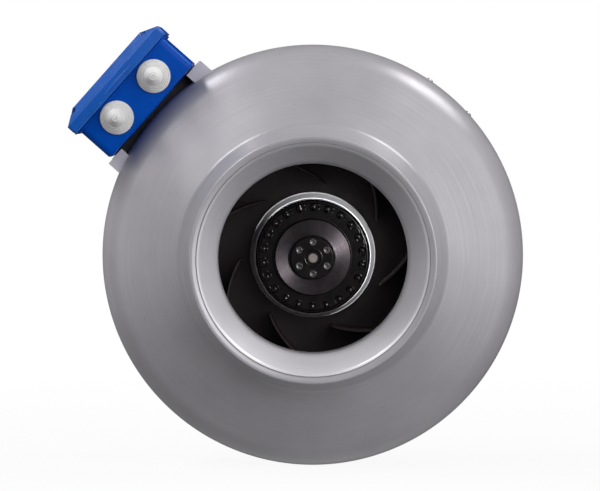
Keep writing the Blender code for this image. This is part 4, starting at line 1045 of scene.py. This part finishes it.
def cable_grommets():
    wall = -BOX_DEPTH / 2
    outline = [(0.0, wall - 17.3), (0.6, wall - 17.4), (0.8, wall - 18.2), (1.5, wall - 18.3)]
    outline += [(1.9, wall - 17.4), (3.2, wall - 17.3), (4.0, wall - 16.4), (7.7, wall - 10.4)]
    for radius, height in ((7.9, 9.2), (9.2, 7.2), (10.5, 5.3), (11.8, 3.5), (13.0, 1.9)):
        outline += [
            (radius - 0.1, wall - height - 0.2), (radius + 0.15, wall - height + 0.25),
            (radius + 0.5, wall - height - 0.35), (radius + 1.05, wall - height - 0.1),
        ]
    outline = outline[:-1] + [(GROMMET_RADIUS, wall - 1.6), (GROMMET_RADIUS, wall - GAP)]
    outline += [
        (9.9, wall - GAP), (9.9, wall + BOX_WALL + GAP), (12.0, wall + BOX_WALL + GAP),
        (8.2, wall + BOX_WALL + 2.4), (8.2, wall - 3.0), (3.0, wall - 12.6), (0.0, wall - 13.6),
    ]
    for number, side in enumerate((-1, 1), 1):
        place = BOX_PLACE @ Matrix.Translation((side * GROMMET_SPACING / 2, 0.0, GROMMET_HEIGHT))
        piece = lathe(f"cable_grommet_boot_{number}", outline, LOOKS["grey_rubber"], place, 96, 0.12)
        belongs(piece, "housing", "grey_rubber", f"cable_grommet_{number}")


def capacitor():
    outline = [
        (0.0, -30.0), (3.0, -30.0), (3.6, -28.8), (9.8, -28.8), (10.6, -29.6), (12.0, -28.6), (12.0, 22.0),
        (11.4, 22.4), (11.4, 23.0), (12.0, 23.4), (11.6, 24.0), (0.0, 24.0),
    ]
    place = BOX_PLACE @ Matrix.Translation((4.0, 33.0, 20.0)) @ Matrix.Rotation(pi / 2, 4, "Z")
    piece = lathe("run_capacitor_can", outline, LOOKS["cast_aluminium"], place, 72, 0.5)
    return belongs(piece, "housing", "cast_aluminium", "capacitor")


def carried_over():
    """CAD nodes that keep their shape get a finished material and softened edges."""
    # Among these, a black pad between the terminal box and the casing is a dark piece put where there is only
    # shade.
    slots = {part["node"]: part["material_slot"] for part in frame["record"]["subparts"]}
    for name, piece in frame["nodes"].items():
        if piece.hide_render:
            continue
        piece.data.materials.clear()
        piece.data.materials.append(LOOKS[slots[name]])
        edge = piece.modifiers.new("edges", "BEVEL")
        edge.width = 0.25 * MM
        edge.segments = 2
        edge.limit_method = "ANGLE"
        edge.angle_limit = radians(40)


# Stage

def backdrop():
    """A pale floor that fades to white with distance."""
    low = CAD_BOX[0].z - FLOOR_GAP
    mesh = bpy.data.meshes.new("floor")
    sides = 96
    rings = (0.0, 0.3, 0.6, 1.2, 2.5, 6.0, 14.0, 30.0)
    verts = [(0.0, 0.0, low)]
    for radius in rings[1:]:
        verts += [(radius * sin(TURN * j / sides), radius * cos(TURN * j / sides), low) for j in range(sides)]
    faces = [(0, 1 + j, 1 + (j + 1) % sides) for j in range(sides)]
    for i in range(len(rings) - 2):
        for j in range(sides):
            a, b = 1 + i * sides + j, 1 + i * sides + (j + 1) % sides
            faces.append((a, b, b + sides, a + sides))
    mesh.from_pydata(verts, [], faces)
    floor = bpy.data.objects.new("floor", mesh)
    bpy.context.collection.objects.link(floor)
    floor.visible_diffuse = False
    floor.visible_glossy = False
    floor.visible_shadow = False
    look = bpy.data.materials.new("pale_floor")
    look.use_nodes = True
    tree = look.node_tree
    shader = tree.nodes["Principled BSDF"]
    output = tree.nodes["Material Output"]
    position = node(tree, "TexCoord").outputs["Object"]
    patchy = ranged(tree, noise(tree, position, 60.0), 0.0, 1.0)
    colour = mixed(tree, patchy, (0.82, 0.82, 0.82), (0.84, 0.84, 0.84))
    tree.links.new(colour, shader.inputs["Base Color"])
    shader.inputs["Roughness"].default_value = 0.8
    distance = node(tree, "VectorMath", {0: position}, operation="LENGTH").outputs["Value"]
    white = node(tree, "Emission", {"Color": (1, 1, 1, 1), "Strength": 1.0}).outputs[0]
    far = ranged(tree, distance, 0.93, 1.0, 0.25, 1.1)
    seen = node(tree, "MixShader", {0: far, 1: shader.outputs[0], 2: white}).outputs[0]
    tree.links.new(seen, output.inputs["Surface"])
    mesh.materials.append(look)


def seen_from(azimuth, from_front):
    """A direction by its azimuth clockwise from the top and its angle from the front, in degrees."""
    azimuth = radians(azimuth)
    away = radians(from_front)
    return Vector((sin(away) * sin(azimuth), -cos(away), sin(away) * cos(azimuth)))


def light_patch(tree, position, azimuth, from_front, tightness, strength):
    """A soft patch of light in the surround."""
    way = seen_from(azimuth, from_front)
    near = node(tree, "VectorMath", {0: position, 1: way}, operation="DOT_PRODUCT").outputs["Value"]
    falloff = calc(tree, "EXPONENT", calc(tree, "MULTIPLY", calc(tree, "SUBTRACT", near, 1.0), tightness))
    return calc(tree, "MULTIPLY", falloff, strength)


PATCHES = (  # azimuth, angle from the front, tightness, strength
    (65, 38, 16, 4.78),
    (120, 38, 16, 0.38),
    (-135, 64, 12, 0.11),
    (-90, 64, 12, 0.80),
    (-45, 64, 12, 1.85),
    (90, 64, 12, 1.30),
    (180, 125, 8, 0.65),
    (-90, 125, 8, 0.50),
)


def surround():
    """Soft patches of light round the fan; the camera sees plain white."""
    world = bpy.data.worlds.new("studio")
    bpy.context.scene.world = world
    world.cycles.sampling_method = "MANUAL"
    world.cycles.sample_map_resolution = 256
    world.use_nodes = True
    tree = world.node_tree
    tree.nodes.clear()
    position = node(tree, "TexCoord").outputs["Generated"]
    light = 0.0
    for numbers in PATCHES:
        light = calc(tree, "ADD", light_patch(tree, position, *numbers), light)
    room = node(tree, "Background", {"Color": light, "Strength": 1.0}).outputs[0]
    white = node(tree, "Background", {"Color": (1, 1, 1, 1), "Strength": 1.0}).outputs[0]
    camera = node(tree, "LightPath").outputs["Is Camera Ray"]
    both = node(tree, "MixShader", {0: camera, 1: room, 2: white}).outputs[0]
    output = node(tree, "OutputWorld")
    tree.links.new(both, output.inputs["Surface"])


def aimed(name, data, location, way):
    """A lamp or camera at a location that looks against a direction."""
    made = bpy.data.objects.new(name, data)
    bpy.context.collection.objects.link(made)
    made.location = location
    made.rotation_mode = "QUATERNION"
    made.rotation_quaternion = (-way).to_track_quat("-Z", "Y")
    return made


def softbox(name, way, width, power):
    """A rectangular area light that faces the fan and isn't seen itself."""
    data = bpy.data.lights.new(name, "AREA")
    data.shape = "RECTANGLE"
    data.size = width
    data.size_y = 0.5
    data.energy = power
    lamp = aimed(name, data, AXIS + way * SOFTBOX_DISTANCE, way)
    lamp.visible_camera = False
    return lamp


def beam(name, way, target, power):
    """A narrow spot lamp that points at the fan's axis, at a place along it in mm."""
    data = bpy.data.lights.new(name, "SPOT")
    data.energy = power
    data.spot_size = radians(6.0)
    data.shadow_soft_size = 0.05
    return aimed(name, data, AXIS + ALONG_AXIS * target * MM + way * BEAM_DISTANCE, way)


def lit_only(lamp, pieces):
    """Keeps a lamp's light to some pieces."""
    group = bpy.data.collections.new(lamp.name)
    for piece in pieces:
        group.objects.link(bpy.data.objects[piece])
    lamp.light_linking.receiver_collection = group


def lights():
    """Strips beside and above the fan, and lamps that reach into the nozzle and onto the motor."""
    softbox("left_strip", seen_from(-38.0, 96.0), 0.70, 9.0)
    softbox("right_strip", seen_from(36.0, 94.0), 0.60, 7.5)
    for name, azimuth, power in (("left_nozzle_light", -32.0, 11.0), ("right_nozzle_light", 40.0, 17.0)):
        lit_only(softbox(name, seen_from(azimuth, 78.0), 0.50, power), ["inlet_nozzle_funnel"])
    rotor = ["rotor_cup_shell", "label_disc_film", "rotor_hub_boss", "motor_shaft"]
    rotor += [f"hub_rivet_head_{i + 1}" for i in range(RIVETS)]
    lit_only(beam("motor_light", seen_from(76.0, 14.0), -50.0, 42.0), rotor)
    lit_only(beam("ring_light", seen_from(50.0, 19.0), -20.0, 220.0), ["rotor_clamp_ring"])


def camera():
    """Looks along +Y from slightly above; the fan sits right of and below the picture's middle."""
    data = bpy.data.cameras.new("camera")
    data.sensor_width = 36.0
    data.lens = data.sensor_width * CAMERA_DISTANCE / VIEW_WIDTH
    data.clip_end = 100.0
    away = Vector((0.0, -cos(CAMERA_TILT), sin(CAMERA_TILT)))
    up = Vector((0.0, sin(CAMERA_TILT), cos(CAMERA_TILT)))
    location = AXIS + away * CAMERA_DISTANCE - ACROSS * VIEW_LEFT + up * VIEW_ABOVE
    bpy.context.scene.camera = aimed("camera", data, location, away)


for build in (
    inlet_casing, outlet_casing, inlet_nozzle, casing_screws, box_screws, rotor_cup, label_disc,
    rotor_hub, clamp_ring, shaft, impeller, motor_bracket, stator_flange, bearings, motor_cable,
    terminal_box_base, edge_teeth, terminal_box_lid, lid_rib, lid_gasket, cable_grommets, capacitor,
    carried_over, backdrop, surround, lights, camera,
):
    build()
bpy.context.scene.view_settings.view_transform = "Standard"
